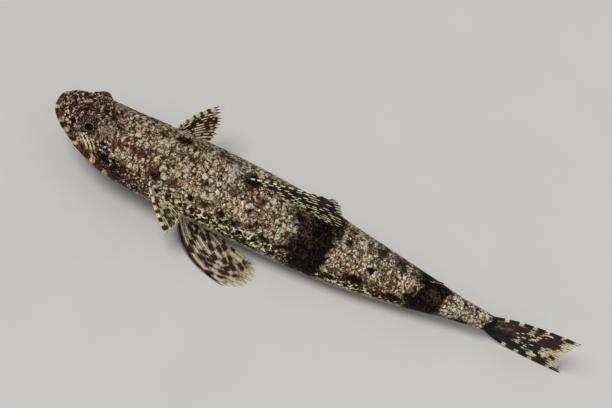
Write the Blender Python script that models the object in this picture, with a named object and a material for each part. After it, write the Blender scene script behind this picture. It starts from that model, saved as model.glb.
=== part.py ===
"""Variegated lizardfish, an adult at life size, resting on the bottom on its pelvic fins and belly.

The head points to -X, the fish's left side faces -Y and the floor is at Z = 0. The body is one lofted
form that thin cuts divide, and each fin is a thin fan of rays that grows out of it. The functions work
in millimetres in the fish's own terms: the distance s from the snout, the distance to the left, and the
height above the floor. Blender's metres come in at the end, in to_frame.
"""

import math

import bmesh
import bpy
import numpy as np

MM = 0.001
TOTAL_LENGTH = 240.0
LEFT_OF_CENTRE = -1.9  # the middle of the fish's own box, to the left of its straight line
GAP = 0.3  # between touching pieces

# Distance from the snout, belly height, back height, half width, height of the widest level as a share
# of the depth, bend to the left, squareness of the section above the widest level
STATIONS = (
    (0.0, 21.4, 28.6, 7.0, 0.52, -0.3, 2.2),
    (7.0, 18.0, 31.2, 9.2, 0.40, 0.0, 2.25),
    (16.0, 14.0, 33.0, 12.3, 0.33, 0.7, 2.3),
    (24.0, 11.2, 33.5, 14.2, 0.36, 1.4, 2.3),
    (32.0, 8.8, 34.0, 15.4, 0.40, 2.0, 2.25),
    (48.0, 5.4, 34.8, 16.4, 0.47, 2.2, 2.15),
    (64.0, 3.4, 34.9, 16.7, 0.50, 1.6, 2.1),
    (86.0, 1.0, 33.6, 16.5, 0.50, 0.6, 2.1),
    (110.0, -0.5, 30.8, 15.7, 0.50, -0.4, 2.1),
    (131.0, -0.5, 27.2, 13.6, 0.50, -0.5, 2.05),
    (152.0, 0.9, 23.4, 10.9, 0.50, -1.2, 2.0),
    (173.0, 3.4, 19.4, 7.6, 0.50, -2.2, 2.0),
    (190.0, 5.5, 16.0, 4.9, 0.50, -3.1, 2.0),
    (199.0, 6.0, 15.2, 3.8, 0.50, -3.5, 2.0),
    (204.0, 5.4, 15.8, 1.2, 0.50, -3.6, 2.0),
)
BELLY, BACK, HALF_WIDTH, WIDEST, BEND, SQUARENESS = range(1, 7)
TAIL_END = 204.0
BELLY_SQUARENESS = 2.1

SNOUT_ROUND = 7.0  # length of the rounded tip of the snout
SNOUT_HEIGHT = 25.0
CHIN_BACK = 0.8  # how far the lower jaw's tip lies behind the upper one's

# The line of the mouth: distance from the snout, height
MOUTH_LINE = ((0.0, 25.0), (4.6, 22.9), (9.0, 21.0), (16.0, 18.8), (23.0, 16.9), (31.0, 14.4), (36.0, 12.6))
MOUTH_CORNER = 36.0
LIP_LINES = (-2.8, -1.3, 0.0, 1.1, 2.4)  # arc distances below the mouth line where the loft has its lines
UPPER_LIP, LOWER_LIP = 0.65, 0.5

# The free edge of the gill covers, and the nape above it: height, distance from the snout
GILL_EDGE = (
    (-6.0, 26.0), (0.0, 33.5), (5.0, 39.6), (10.0, 44.4), (15.0, 47.2), (20.0, 48.0), (25.0, 47.2),
    (29.0, 45.8), (32.0, 46.8), (35.5, 52.0), (50.0, 66.0),
)
# The seam between the cheek and the plate of the gill cover: height, distance from the snout
CHEEK_EDGE = ((8.2, 42.6), (9.5, 39.4), (13.0, 36.6), (19.0, 35.2), (25.0, 36.8), (28.0, 40.6), (29.0, 45.6))
GILL_PLATE = 1.6
GILL_FLARE = 0.8  # how far the free edge stands out from the body behind it
VENT = 151.0  # where the tail begins

EYE_RADIUS = 4.3
EYE_CENTRE = (17.2, 6.6, 30.0)  # distance from the snout, to the side of the middle of the head, height
GAZE = (-0.12, 0.80, 0.59)  # forward, outward and upward share of the way an eye looks
ORBIT_RIM = 0.9
ORBIT_OPENING = 2.0  # how far out along the gaze the rim reaches
EYE_GROOVE = 1.0  # how deep the head dips between the eyes
CHEEK_SWELL = 0.7

NOSTRILS = (9.4, 11.6)  # distances from the snout
NOSTRIL_ANGLE = 0.62  # from straight up
NOSTRIL_RIM, NOSTRIL_HOLE = 0.85, 0.5

MEMBRANE = 0.55
RAY = 1.15  # thickness of a fin at a ray, with the ridges on both faces
TIP_NOTCH = 0.035  # how much shorter the skin between two rays is, as a share of their length


def curve_value(table, column, s):
    """A smooth curve through one column of a table, with no overshoot between its rows."""
    xs = np.array([row[0] for row in table])
    ys = np.array([row[column] for row in table])
    step = np.diff(xs)
    rise = np.diff(ys) / step
    slope = np.zeros(len(xs))
    slope[0], slope[-1] = rise[0], rise[-1]
    for i in range(1, len(xs) - 1):
        if rise[i - 1] * rise[i] > 0:
            slope[i] = 2 * rise[i - 1] * rise[i] / (rise[i - 1] + rise[i])
    s = np.clip(np.asarray(s, float), xs[0], xs[-1])
    k = np.clip(np.searchsorted(xs, s, side="right") - 1, 0, len(xs) - 2)
    t = (s - xs[k]) / step[k]
    return (
        (1 + 2 * t) * (1 - t) ** 2 * ys[k]
        + t * (1 - t) ** 2 * step[k] * slope[k]
        + t * t * (3 - 2 * t) * ys[k + 1]
        + t * t * (t - 1) * step[k] * slope[k + 1]
    )


def snout_share(s):
    """How far the section has opened, from 0 at the tip of the snout to 1 behind its rounded end."""
    t = np.clip(np.asarray(s, float) / SNOUT_ROUND, 0.0, 1.0)
    return np.sqrt(np.maximum(1.0 - (1.0 - t) ** 2, 0.0))


def section(s):
    """Bend, height of the widest level, half width, height above and below that level, and squareness."""
    share = snout_share(s)
    belly, back = curve_value(STATIONS, BELLY, s), curve_value(STATIONS, BACK, s)
    belly = SNOUT_HEIGHT + (belly - SNOUT_HEIGHT) * np.where(share < 1, share, 1.0)
    back = SNOUT_HEIGHT + (back - SNOUT_HEIGHT) * np.where(share < 1, share, 1.0)
    middle = belly + (back - belly) * curve_value(STATIONS, WIDEST, s)
    half_width = curve_value(STATIONS, HALF_WIDTH, s) * share
    return (
        curve_value(STATIONS, BEND, s), middle, half_width, back - middle, middle - belly,
        curve_value(STATIONS, SQUARENESS, s),
    )


def section_radius(s, angle):
    """Distance from the middle of a section to its edge, at an angle from straight up."""
    _, _, half_width, above, below, square = section(s)
    up = np.cos(angle) >= 0
    height = np.where(up, above, below) + 1e-6
    power = np.where(up, square, BELLY_SQUARENESS)
    across = np.abs(np.sin(angle)) / (half_width + 1e-6)
    return (across**power + (np.abs(np.cos(angle)) / height) ** power) ** (-1 / power)


def plain_surface(s, angle):
    """A point of the body without its relief: distance from the snout, to the left, height."""
    bend, middle, *_ = section(s)
    radius = section_radius(s, angle)
    return np.stack(
        np.broadcast_arrays(s, bend + radius * np.sin(angle), middle + radius * np.cos(angle)), axis=-1
    )


def mouth_angle(s):
    """Angle from straight up at which the line of the mouth meets a section."""
    _, middle, *_ = section(s)
    target = curve_value(MOUTH_LINE, 1, s) - middle
    low = np.full(np.shape(s), 0.2)
    high = np.full(np.shape(s), math.pi - 0.2)
    for _ in range(16):
        half = (low + high) / 2
        above = section_radius(s, half) * np.cos(half) > target
        low, high = np.where(above, half, low), np.where(above, high, half)
    return (low + high) / 2


def bump(distance, width):
    return np.exp(-((distance / width) ** 2))


def relief(s, angle, flare):
    """How far the surface stands out from the plain form at the lips, eyes, cheeks and gill covers."""
    radius = section_radius(s, angle)
    _, middle, *_ = section(s)
    height = middle + radius * np.cos(angle)
    below = (np.abs(angle) - mouth_angle(s)) * radius
    strength = np.clip((MOUTH_CORNER + 2 - s) / 8, 0, 1) * np.clip(radius / 5, 0, 1)
    lips = UPPER_LIP * bump(below + 1.3, 1.0) + LOWER_LIP * bump(below - 1.1, 0.9) - 0.5 * bump(below, 0.5)
    groove = -EYE_GROOVE * bump(angle * radius, 3.2) * bump(s - EYE_CENTRE[0], 6.5)
    cheek = CHEEK_SWELL * bump(s - 30.0, 6.0) * bump(height - 21.0, 5.0)
    before_edge = curve_value(GILL_EDGE, 1, height) - s
    gill = flare * GILL_FLARE * np.clip(1 - before_edge / 11, 0, 1) * bump(height - 18.0, 9.0)
    return strength * lips + groove + cheek + gill


def body_surface(s, angle, grow=0.0, flare=0.0):
    """A point of the body with its relief, grown outwards by some millimetres."""
    s, angle = np.broadcast_arrays(np.asarray(s, float), np.asarray(angle, float))
    point = plain_surface(s, angle)
    along = plain_surface(s + 0.05, angle) - plain_surface(np.maximum(s - 0.05, 0.0), angle)
    around = plain_surface(s, angle + 0.01) - plain_surface(s, angle - 0.01)
    normal = np.cross(along, around)
    bend, middle, *_ = section(s)
    outward = point - np.stack([s + 0.2, bend, middle], axis=-1)
    normal *= np.sign(np.sum(normal * outward, axis=-1, keepdims=True))
    normal /= np.linalg.norm(normal, axis=-1, keepdims=True) + 1e-12
    point = point + normal * (relief(s, angle, flare) + grow)[..., None]
    chin = np.clip((np.abs(angle) - mouth_angle(s)) / 0.3, 0, 1) * np.clip(1 - s / 14, 0, 1)
    point[..., 0] += CHIN_BACK * chin
    return point


def ring_angles(s, above=8, below=6):
    """Angles of a section's points, from the back down the left side and up the right."""
    mouth = float(mouth_angle(np.array(s)))
    radius = float(section_radius(np.array(s), mouth))
    lips = [mouth + line * min(1.0, radius / 7) / radius for line in LIP_LINES]
    upper = np.linspace(0, lips[0], above + 1)[:-1]
    lower = np.linspace(lips[-1], math.pi, below + 1)[1:]
    left = [*upper, *lips, *lower]
    return np.array(left + [-a for a in left[-2:0:-1]])


def to_frame(points):
    """Fish terms in millimetres to the frame in metres."""
    points = np.asarray(points, float)
    return np.stack(
        [
            (points[..., 0] - TOTAL_LENGTH / 2) * MM,
            -(points[..., 1] - LEFT_OF_CENTRE) * MM,
            points[..., 2] * MM,
        ],
        axis=-1,
    )


def new_object(name, points, faces, collection):
    """A mesh object whose faces all point outwards."""
    mesh = bpy.data.meshes.new(name)
    mesh.from_pydata([tuple(p) for p in to_frame(points)], [], faces)
    shape = bmesh.new()
    shape.from_mesh(mesh)
    bmesh.ops.recalc_face_normals(shape, faces=shape.faces)
    shape.to_mesh(mesh)
    shape.free()
    thing = bpy.data.objects.new(name, mesh)
    collection.objects.link(thing)
    return thing


def body_object(name, collection, grow=0.0, flare=0.0):
    """The whole body from the snout to the end of the tail, closed at both ends."""
    nose = [SNOUT_ROUND * (1 - math.cos(math.radians(a))) for a in (13, 28, 44, 60, 76, 90)]
    head = list(np.arange(9.5, 52, 3.0))
    trunk = list(np.arange(56.0, 196.0, 7.0))
    rings = nose + head + trunk + [196.0, 200.0, 202.6, TAIL_END]
    angles = np.array([ring_angles(s) for s in rings])
    skin = body_surface(np.array(rings)[:, None], angles, grow, flare)
    points = [np.array([0.0 - grow, 0.0, SNOUT_HEIGHT]), *skin.reshape(-1, 3)]
    end = body_surface(TAIL_END, np.array([0.0, math.pi]), grow).mean(axis=0)
    points.append(end + np.array([0.3 + grow, 0.0, 0.0]))
    around = len(ring_angles(20.0))
    faces = [(0, 1 + i, 1 + (i + 1) % around) for i in range(around)]
    for r in range(len(rings) - 1):
        a, b = 1 + r * around, 1 + (r + 1) * around
        for i in range(around):
            j = (i + 1) % around
            faces.append((a + i, b + i, b + j, a + j))
    last = 1 + (len(rings) - 1) * around
    faces += [(last + i, len(points) - 1, last + (i + 1) % around) for i in range(around)]
    return new_object(name, points, faces, collection)


def side_prism(name, outline, collection, left=-60.0, right=60.0):
    """A block whose side view is an outline of (distance from the snout, height) points."""
    count = len(outline)
    points = [(s, left, z) for s, z in outline] + [(s, right, z) for s, z in outline]
    faces = [tuple(range(count)), tuple(range(2 * count - 1, count - 1, -1))]
    faces += [(i, (i + 1) % count, count + (i + 1) % count, count + i) for i in range(count)]
    return new_object(name, points, faces, collection)


def side_curve(table, low, high, count):
    """Points of an edge that a table gives by its height, as (distance from the snout, height)."""
    return [(float(curve_value(table, 1, z)), float(z)) for z in np.linspace(low, high, count)]


def ball(name, centre, radius, collection, segments=20, rings=12):
    """A closed ball, with its poles along its own Z axis."""
    shape = bmesh.new()
    bmesh.ops.create_uvsphere(shape, u_segments=segments, v_segments=rings, radius=radius * MM)
    mesh = bpy.data.meshes.new(name)
    shape.to_mesh(mesh)
    shape.free()
    thing = bpy.data.objects.new(name, mesh)
    thing.location = tuple(to_frame(centre))
    collection.objects.link(thing)
    return thing


def boolean(thing, other, operation):
    """Cuts or joins by closed meshes only, because the exact way leaves open edges on these thin lofts."""
    modifier = thing.modifiers.new(operation.lower() + "_" + other.name, "BOOLEAN")
    modifier.object = other
    modifier.operation = operation
    modifier.solver = "MANIFOLD"


def keep_largest(thing):
    """Applies the object's modifiers and keeps its largest closed surface."""
    bpy.context.view_layer.update()
    graph = bpy.context.evaluated_depsgraph_get()
    mesh = bpy.data.meshes.new_from_object(thing.evaluated_get(graph))
    thing.modifiers.clear()
    thing.data = mesh
    shape = bmesh.new()
    shape.from_mesh(mesh)
    bmesh.ops.remove_doubles(shape, verts=shape.verts, dist=1e-7)
    bmesh.ops.dissolve_degenerate(shape, edges=shape.edges, dist=1e-7)
    islands, seen = [], set()
    for face in shape.faces:
        if face in seen:
            continue
        island, queue = [], [face]
        seen.add(face)
        while queue:
            here = queue.pop()
            island.append(here)
            for edge in here.edges:
                for there in edge.link_faces:
                    if there not in seen:
                        seen.add(there)
                        queue.append(there)
        islands.append(island)
    islands.sort(key=lambda faces: sum(f.calc_area() for f in faces))
    spare = [face for island in islands[:-1] for face in island]
    bmesh.ops.delete(shape, geom=spare, context="FACES")
    bmesh.ops.triangulate(shape, faces=shape.faces)
    shape.to_mesh(mesh)
    shape.free()
    return thing


def unit(vector):
    vector = np.asarray(vector, float)
    return vector / np.linalg.norm(vector)


def eye_place(side):
    """Centre and gaze of the eye on one side, 1 for the left and -1 for the right."""
    bend = float(curve_value(STATIONS, BEND, EYE_CENTRE[0]))
    centre = np.array([EYE_CENTRE[0], bend + side * EYE_CENTRE[1], EYE_CENTRE[2]])
    return centre, unit((GAZE[0], side * GAZE[1], GAZE[2]))


def orbit_rim(name, side, collection):
    """The raised rim round an eye: a ball cut off square to the gaze."""
    centre, gaze = eye_place(side)
    rim = ball(name, centre, EYE_RADIUS + ORBIT_RIM, collection, 22, 12)
    shape = bmesh.new()
    shape.from_mesh(rim.data)
    normal = (gaze[0], -gaze[1], gaze[2])
    cut = bmesh.ops.bisect_plane(
        shape,
        geom=shape.verts[:] + shape.edges[:] + shape.faces[:],
        plane_co=[ORBIT_OPENING * MM * n for n in normal],
        plane_no=normal,
        clear_outer=True,
    )
    edges = [item for item in cut["geom_cut"] if isinstance(item, bmesh.types.BMEdge)]
    bmesh.ops.contextual_create(shape, geom=edges)
    bmesh.ops.recalc_face_normals(shape, faces=shape.faces)
    shape.to_mesh(rim.data)
    shape.free()
    return rim


def fin_point(guides, u, v):
    """A point of a fin, u from root to tip along a ray and v across from the first ray to the last."""
    weights = ((2 * v - 1) * (v - 1), 4 * v * (1 - v), v * (2 * v - 1))
    point = 0.0
    for weight, (root, bend, tip) in zip(weights, guides):
        ray = (1 - u) ** 2 * np.array(root) + 2 * u * (1 - u) * np.array(bend) + u * u * np.array(tip)
        point = point + weight * ray
    return point


def fin_object(name, guides, rays, rows, collection, reach=None, on_floor=False, ray=RAY, membrane=MEMBRANE):
    """A thin fan with a ridge along each ray on both faces, split into the same triangles on both."""
    half_step = 0.27 / (rays - 1)
    columns = []
    for i in range(rays):
        v = i / (rays - 1)
        columns += [(v - half_step, False)] if i > 0 else []
        columns += [(v, True)]
        columns += [(v + half_step, False)] if i < rays - 1 else []
    length = (lambda v: 1.0) if reach is None else reach

    def place(u, v):
        point = fin_point(guides, u * length(v), v)
        if on_floor:
            point[2] = max(point[2], ray / 2 - 0.1)
        return point

    front, back = [], []
    for v, crest in columns:
        for j in range(rows + 1):
            u = j / rows * (1.0 if crest else 1.0 - TIP_NOTCH)
            here = place(u, v)
            along = place(u + 0.01, v) - place(u - 0.01, v)
            across = place(u, min(v + 0.01, 1.0)) - place(u, max(v - 0.01, 0.0))
            normal = unit(np.cross(along, across))
            thick = (ray * (1 - 0.4 * u) if crest else membrane) / 2
            if j == rows:
                thick = membrane / 2 * 0.9
            a, b = here + normal * thick, here - normal * thick
            if on_floor:
                a[2], b[2] = max(a[2], 0.0), max(b[2], 0.0)
            front.append(a)
            back.append(b)
    count = len(front)
    down = rows + 1
    faces = []
    for c in range(len(columns) - 1):
        for j in range(rows):
            a, b, d, e = c * down + j, c * down + j + 1, (c + 1) * down + j + 1, (c + 1) * down + j
            faces += [(a, b, d), (a, d, e)]
            faces += [(count + a, count + d, count + b), (count + a, count + e, count + d)]
    edge = [c * down for c in range(len(columns))]
    edge += [(len(columns) - 1) * down + j for j in range(1, down)]
    edge += [c * down + rows for c in range(len(columns) - 2, -1, -1)]
    edge += list(range(rows - 1, 0, -1))
    for i, a in enumerate(edge):
        b = edge[(i + 1) % len(edge)]
        faces += [(a, b, count + b), (a, count + b, count + a)]
    return new_object(name, front + back, faces, collection)


PELVIC_RAYS, PECTORAL_RAYS, DORSAL_RAYS, ANAL_RAYS, CAUDAL_RAYS = 9, 12, 12, 8, 15

# Each fin's first, middle and last ray as root, bend and tip: distance from the snout, to the left, height
PELVIC_LEFT = (
    ((62.5, 7.5, 7.5), (70.0, 28.0, -2.0), (93.6, 31.0, 0.3)),
    ((65.5, 6.0, 6.5), (80.0, 21.0, -1.5), (103.4, 24.8, 0.9)),
    ((68.5, 4.5, 5.5), (82.0, 10.0, 0.0), (102.6, 14.2, 1.6)),
)
PECTORAL_LEFT = (
    ((48.6, 16.0, 24.4), (55.0, 27.0, 21.5), (65.0, 31.6, 15.3)),
    ((49.8, 16.4, 21.2), (58.2, 23.4, 21.0), (67.6, 27.0, 16.6)),
    ((51.0, 16.4, 18.2), (58.8, 19.8, 22.6), (66.9, 21.6, 18.6)),
)
PECTORAL_RIGHT = (
    ((48.4, -12.0, 25.2), (52.0, -25.6, 27.0), (61.4, -36.2, 25.4)),
    ((49.4, -12.2, 21.6), (56.4, -24.4, 23.4), (64.8, -30.4, 22.2)),
    ((50.6, -12.4, 17.8), (58.0, -19.4, 18.8), (65.0, -22.2, 18.8)),
)
DORSAL = (
    ((82.6, 0.6, 32.2), (98.0, 0.2, 38.0), (122.4, -0.6, 43.4)),
    ((98.0, 0.2, 31.2), (110.5, 0.4, 34.8), (126.6, 0.6, 37.4)),
    ((113.6, -0.4, 28.6), (121.0, 0.2, 29.8), (129.6, 1.0, 29.2)),
)
ANAL = (
    ((155.0, -1.3, 3.0), (160.0, -1.3, 0.2), (167.5, -1.6, 0.3)),
    ((162.0, -1.6, 3.6), (166.5, -1.7, 1.1), (172.5, -1.9, 0.6)),
    ((169.0, -2.0, 4.4), (172.5, -2.1, 2.3), (177.5, -2.3, 1.8)),
)
ADIPOSE = (
    ((168.2, -2.0, 19.0), (171.2, -2.1, 23.0), (176.8, -2.4, 22.8)),
    ((169.6, -2.05, 18.8), (172.4, -2.1, 21.8), (176.9, -2.4, 22.0)),
    ((171.2, -2.1, 18.6), (173.2, -2.2, 20.4), (176.8, -2.4, 21.0)),
)
CAUDAL = (
    ((201.5, -3.6, 15.2), (218.0, -3.6, 23.2), (240.0, -4.0, 23.2)),
    ((202.5, -3.6, 10.6), (219.0, -3.4, 10.6), (239.6, -3.6, 11.8)),
    ((200.8, -3.6, 5.8), (210.0, -3.6, -0.8), (238.8, -4.0, 0.4)),
)
FORK = 0.12  # how much shorter the middle rays of the tail fin are


def caudal_reach(v):
    return 1 - FORK * (1 - abs(2 * v - 1)) ** 0.8


COLOURS = {
    "flesh": (0.30, 0.23, 0.18),
    "fin": (0.55, 0.47, 0.30),
    "eye": (0.02, 0.02, 0.03),
}


def finish_material(name):
    material = bpy.data.materials.get(name)
    if material is None:
        material = bpy.data.materials.new(name)
        material.use_nodes = True
        shader = material.node_tree.nodes["Principled BSDF"]
        shader.inputs["Base Color"].default_value = (*COLOURS[name], 1.0)
        shader.inputs["Roughness"].default_value = 0.15 if name == "eye" else 0.5
        shader.inputs["Metallic"].default_value = 0.0
    return material


def empty_scene():
    for thing in list(bpy.data.objects):
        bpy.data.objects.remove(thing, do_unlink=True)


def build():
    empty_scene()
    scene = bpy.context.scene.collection
    fish = bpy.data.collections.new("variegated_lizardfish")
    cutters = bpy.data.collections.new("cutters")
    scene.children.link(fish)
    scene.children.link(cutters)

    half = GAP / 2
    floor = side_prism("above_floor", [(-20, 0), (260, 0), (260, 80), (-20, 80)], cutters)
    mouth = [(s, float(curve_value(MOUTH_LINE, 1, s))) for s in (0, 2, 4.6, 9, 16, 23, 31, MOUTH_CORNER)]
    above_mouth = [(-8.0, 28.6 + half)] + [(s, z + half) for s, z in mouth]
    below_mouth = [(-8.0, 28.6 - half)] + [(s, z - half) for s, z in mouth]
    throat = [(MOUTH_CORNER + 0.4, 9.0), (32.0, -4.0)]
    jaw = below_mouth[:-1] + [(MOUTH_CORNER - half, mouth[-1][1] - half)]
    jaw += [(s - half, z) for s, z in throat] + [(-8.0, -4.0)]
    gill = side_curve(GILL_EDGE, -5.0, 49.0, 22)
    head = above_mouth + [(s + half, z) for s, z in throat] + [(s - half, z) for s, z in gill] + [(-8.0, 49.0)]
    torso = [(s + half, z) for s, z in gill] + [(VENT - half, 49.0), (VENT - half, -5.0)]
    tail = [(VENT + half, -4.0), (230.0, -4.0), (230.0, 50.0), (VENT + half, 50.0)]

    nodes = {}
    for name, outline in (("head", head), ("jaw_lower", jaw), ("torso", torso), ("tail", tail)):
        node = body_object(name, fish, flare=1.0 if name == "head" else 0.0)
        boolean(node, side_prism(name + "_space", outline, cutters), "INTERSECT")
        if name in ("torso", "tail"):
            boolean(node, floor, "INTERSECT")
        nodes[name] = node

    inner = body_object("under_gill_covers", cutters, -GILL_PLATE)
    deeper = body_object("under_gill_gap", cutters, -GILL_PLATE - GAP)
    low, high = CHEEK_EDGE[0][0], CHEEK_EDGE[-1][0]
    front = side_curve(CHEEK_EDGE, low, high, 10)
    rear = [(s - half, z) for s, z in side_curve(GILL_EDGE, low, high, 12)]
    plate = front + rear[-2::-1]
    wide = [(s - GAP, z) for s, z in front] + [(s + 2.0, high + GAP) for s, z in rear[-1:]]
    wide += [(s + 2.0, z) for s, z in rear[-2::-1]] + [(front[0][0] - GAP, low - GAP)]
    space = side_prism("gill_space", wide, cutters)
    boolean(space, deeper, "DIFFERENCE")
    boolean(nodes["head"], space, "DIFFERENCE")
    bend = float(curve_value(STATIONS, BEND, 42.0))
    for name, reach in (("gill_cover_L", (bend, 60.0)), ("gill_cover_R", (-60.0, bend))):
        node = body_object(name, fish, flare=1.0)
        boolean(node, side_prism(name + "_space", plate, cutters, *reach), "INTERSECT")
        boolean(node, inner, "DIFFERENCE")
        nodes[name] = node

    for name, side in (("eye_L", 1), ("eye_R", -1)):
        centre, _ = eye_place(side)
        boolean(nodes["head"], orbit_rim(name + "_rim", side, cutters), "UNION")
        boolean(nodes["head"], ball(name + "_socket", centre, EYE_RADIUS + GAP, cutters), "DIFFERENCE")
        nodes[name] = ball(name, centre, EYE_RADIUS, fish)
        for i, s in enumerate(NOSTRILS):
            at = body_surface(s, side * NOSTRIL_ANGLE)
            out = unit(body_surface(s, side * NOSTRIL_ANGLE, 1.0) - at)
            tube = ball(f"nostril_{i}_{name}", at, NOSTRIL_RIM, cutters, 10, 6)
            boolean(nodes["head"], tube, "UNION")
            pit = ball(f"nostril_pit_{i}_{name}", at + out * 0.8, NOSTRIL_HOLE, cutters, 10, 6)
            boolean(nodes["head"], pit, "DIFFERENCE")

    pelvic_right = [
        [(s, 2 * float(curve_value(STATIONS, BEND, s)) - left, z) for s, left, z in ray] for ray in PELVIC_LEFT
    ]
    fins = (
        ("pelvic_fin_L", PELVIC_LEFT, PELVIC_RAYS, 9, {"on_floor": True}),
        ("pelvic_fin_R", pelvic_right, PELVIC_RAYS, 9, {"on_floor": True}),
        ("pectoral_fin_L", PECTORAL_LEFT, PECTORAL_RAYS, 5, {}),
        ("pectoral_fin_R", PECTORAL_RIGHT, PECTORAL_RAYS, 5, {}),
        ("dorsal_fin", DORSAL, DORSAL_RAYS, 7, {}),
        ("anal_fin", ANAL, ANAL_RAYS, 4, {"ray": 0.9}),
        ("adipose_fin", ADIPOSE, 4, 4, {"ray": 0.8, "membrane": 0.8}),
        ("caudal_fin", CAUDAL, CAUDAL_RAYS, 8, {"reach": caudal_reach}),
    )
    outside = body_object("round_the_body", cutters, GAP)
    for name, guides, rays, rows, more in fins:
        node = fin_object(name, guides, rays, rows, fish, **more)
        boolean(node, outside, "DIFFERENCE")
        nodes[name] = node

    for thing in cutters.objects:
        thing.hide_render = True
        thing.display_type = "WIRE"
    for name, node in nodes.items():
        keep_largest(node)
        slot = "eye" if name.startswith("eye") else "fin" if name.endswith(("fin", "_fin_L", "_fin_R")) else "flesh"
        node.data.materials.clear()
        node.data.materials.append(finish_material(slot))
    return nodes


build()
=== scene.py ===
"""The looks of a variegated lizardfish lying on the bottom: skin, scales, fins, eyes, floor and light.

Sizes are in millimetres in the fish's own terms until to_frame: the distance s from the snout, the
distance to the left, and the height above the floor. The skin is one sheet whose rings follow the gill
opening and whose lines follow the mouth, and the scales are laid out on its unwrap and then wrapped on it.
"""

import math
from functools import reduce
from itertools import product

import bpy
import numpy as np
from mathutils import Matrix, Vector


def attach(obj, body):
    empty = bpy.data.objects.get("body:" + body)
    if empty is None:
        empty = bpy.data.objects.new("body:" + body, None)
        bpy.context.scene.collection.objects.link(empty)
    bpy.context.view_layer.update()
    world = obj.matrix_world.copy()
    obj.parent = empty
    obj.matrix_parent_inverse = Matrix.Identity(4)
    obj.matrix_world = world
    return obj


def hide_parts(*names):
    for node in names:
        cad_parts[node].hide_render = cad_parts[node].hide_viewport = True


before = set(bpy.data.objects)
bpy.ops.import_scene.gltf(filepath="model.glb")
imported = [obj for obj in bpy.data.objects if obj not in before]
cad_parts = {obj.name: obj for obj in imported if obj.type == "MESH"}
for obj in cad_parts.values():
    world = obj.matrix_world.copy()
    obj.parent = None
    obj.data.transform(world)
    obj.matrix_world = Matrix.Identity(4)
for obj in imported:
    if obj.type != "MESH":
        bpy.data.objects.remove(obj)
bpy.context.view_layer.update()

MM = 0.001
TOTAL_LENGTH = 240.0
LEFT_OF_CENTRE = -1.9
FLOOR_GAP = 0.02  # the least height of any point above the floor
# Sections of the body: the distance from the snout, and then the columns named under the table
STATIONS = (
    (0.0, 21.4, 28.6, 7.0, 0.52, -0.3, 2.2),
    (7.0, 18.0, 31.2, 9.2, 0.40, 0.0, 2.25),
    (16.0, 14.0, 33.0, 12.3, 0.33, 0.7, 2.3),
    (24.0, 11.2, 33.5, 14.2, 0.36, 1.4, 2.3),
    (32.0, 8.8, 34.0, 15.4, 0.40, 2.0, 2.25),
    (48.0, 5.4, 34.8, 16.4, 0.47, 2.2, 2.15),
    (64.0, 3.4, 34.9, 16.7, 0.50, 1.6, 2.1),
    (86.0, 1.0, 33.6, 16.5, 0.50, 0.6, 2.1),
    (110.0, -0.5, 30.8, 15.7, 0.50, -0.4, 2.1),
    (131.0, -0.5, 27.2, 13.6, 0.50, -0.5, 2.05),
    (152.0, 0.9, 23.4, 10.9, 0.50, -1.2, 2.0),
    (173.0, 3.4, 19.4, 7.6, 0.50, -2.2, 2.0),
    (190.0, 5.5, 16.0, 4.9, 0.50, -3.1, 2.0),
    (199.0, 6.0, 15.2, 3.8, 0.50, -3.5, 2.0),
    (204.0, 5.4, 15.8, 1.2, 0.50, -3.6, 2.0),
)
BELLY, BACK, HALF_WIDTH, WIDEST, BEND, SQUARENESS = range(1, 7)
TAIL_END = 204.0
BELLY_SQUARENESS = 2.1
SNOUT_ROUND = 7.0
SNOUT_HEIGHT = 25.0
CHIN_BACK = 0.8
# Distance from the snout and height along the mouth
MOUTH_LINE = ((0.0, 25.0), (4.6, 22.9), (9.0, 21.0), (16.0, 18.8), (23.0, 16.9), (31.0, 14.4), (36.0, 12.6))
MOUTH_CORNER = 36.0
# Height and distance from the snout, along the gill opening and along the edge of the cheek
GILL_EDGE = (
    (-6.0, 26.0), (0.0, 33.5), (5.0, 39.6), (10.0, 44.4), (15.0, 47.2), (20.0, 48.0), (25.0, 47.2),
    (29.0, 45.8), (32.0, 46.8), (35.5, 52.0), (50.0, 66.0),
)
CHEEK_EDGE = ((8.2, 42.6), (9.5, 39.4), (13.0, 36.6), (19.0, 35.2), (25.0, 36.8), (28.0, 40.6), (29.0, 45.6))
GILL_RING = 47.5  # the ring of the skin that runs along the gill opening
EYE_RADIUS = 4.3
EYE_CENTRE = (17.2, 6.6, 30.0)
GAZE = (0.0, 0.86, 0.50)  # forward, outward and upward share of the way an eye's opening faces
PUPIL_WAY = (0.12, 0.91, 0.385)
LID_ANGLE = math.radians(60)  # from the gaze to the edge of the skin round the eye
NOSTRILS = (9.4, 11.6)
NOSTRIL_ANGLE = 0.62
SCALE_DEPTH = 0.35  # how far the skin lies below the outer faces of the scales


# ---- the shape of the body


def curve_value(table, column, s):
    """A smooth curve through one column of a table, with no overshoot between its rows."""
    xs = np.array([row[0] for row in table])
    ys = np.array([row[column] for row in table])
    step = np.diff(xs)
    rise = np.diff(ys) / step
    slope = np.concatenate([rise[:1], np.zeros(len(xs) - 2), rise[-1:]])
    for i in range(1, len(xs) - 1):
        if rise[i - 1] * rise[i] > 0:
            slope[i] = 2 * rise[i - 1] * rise[i] / (rise[i - 1] + rise[i])
    s = np.clip(np.asarray(s, float), xs[0], xs[-1])
    k = np.clip(np.searchsorted(xs, s, side="right") - 1, 0, len(xs) - 2)
    t = (s - xs[k]) / step[k]
    return (
        (1 + 2 * t) * (1 - t) ** 2 * ys[k]
        + t * (1 - t) ** 2 * step[k] * slope[k]
        + t * t * (3 - 2 * t) * ys[k + 1]
        + t * t * (t - 1) * step[k] * slope[k + 1]
    )


def smooth(low, high, x):
    t = np.clip((np.asarray(x, float) - low) / (high - low), 0, 1)
    return t * t * (3 - 2 * t)


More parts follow.
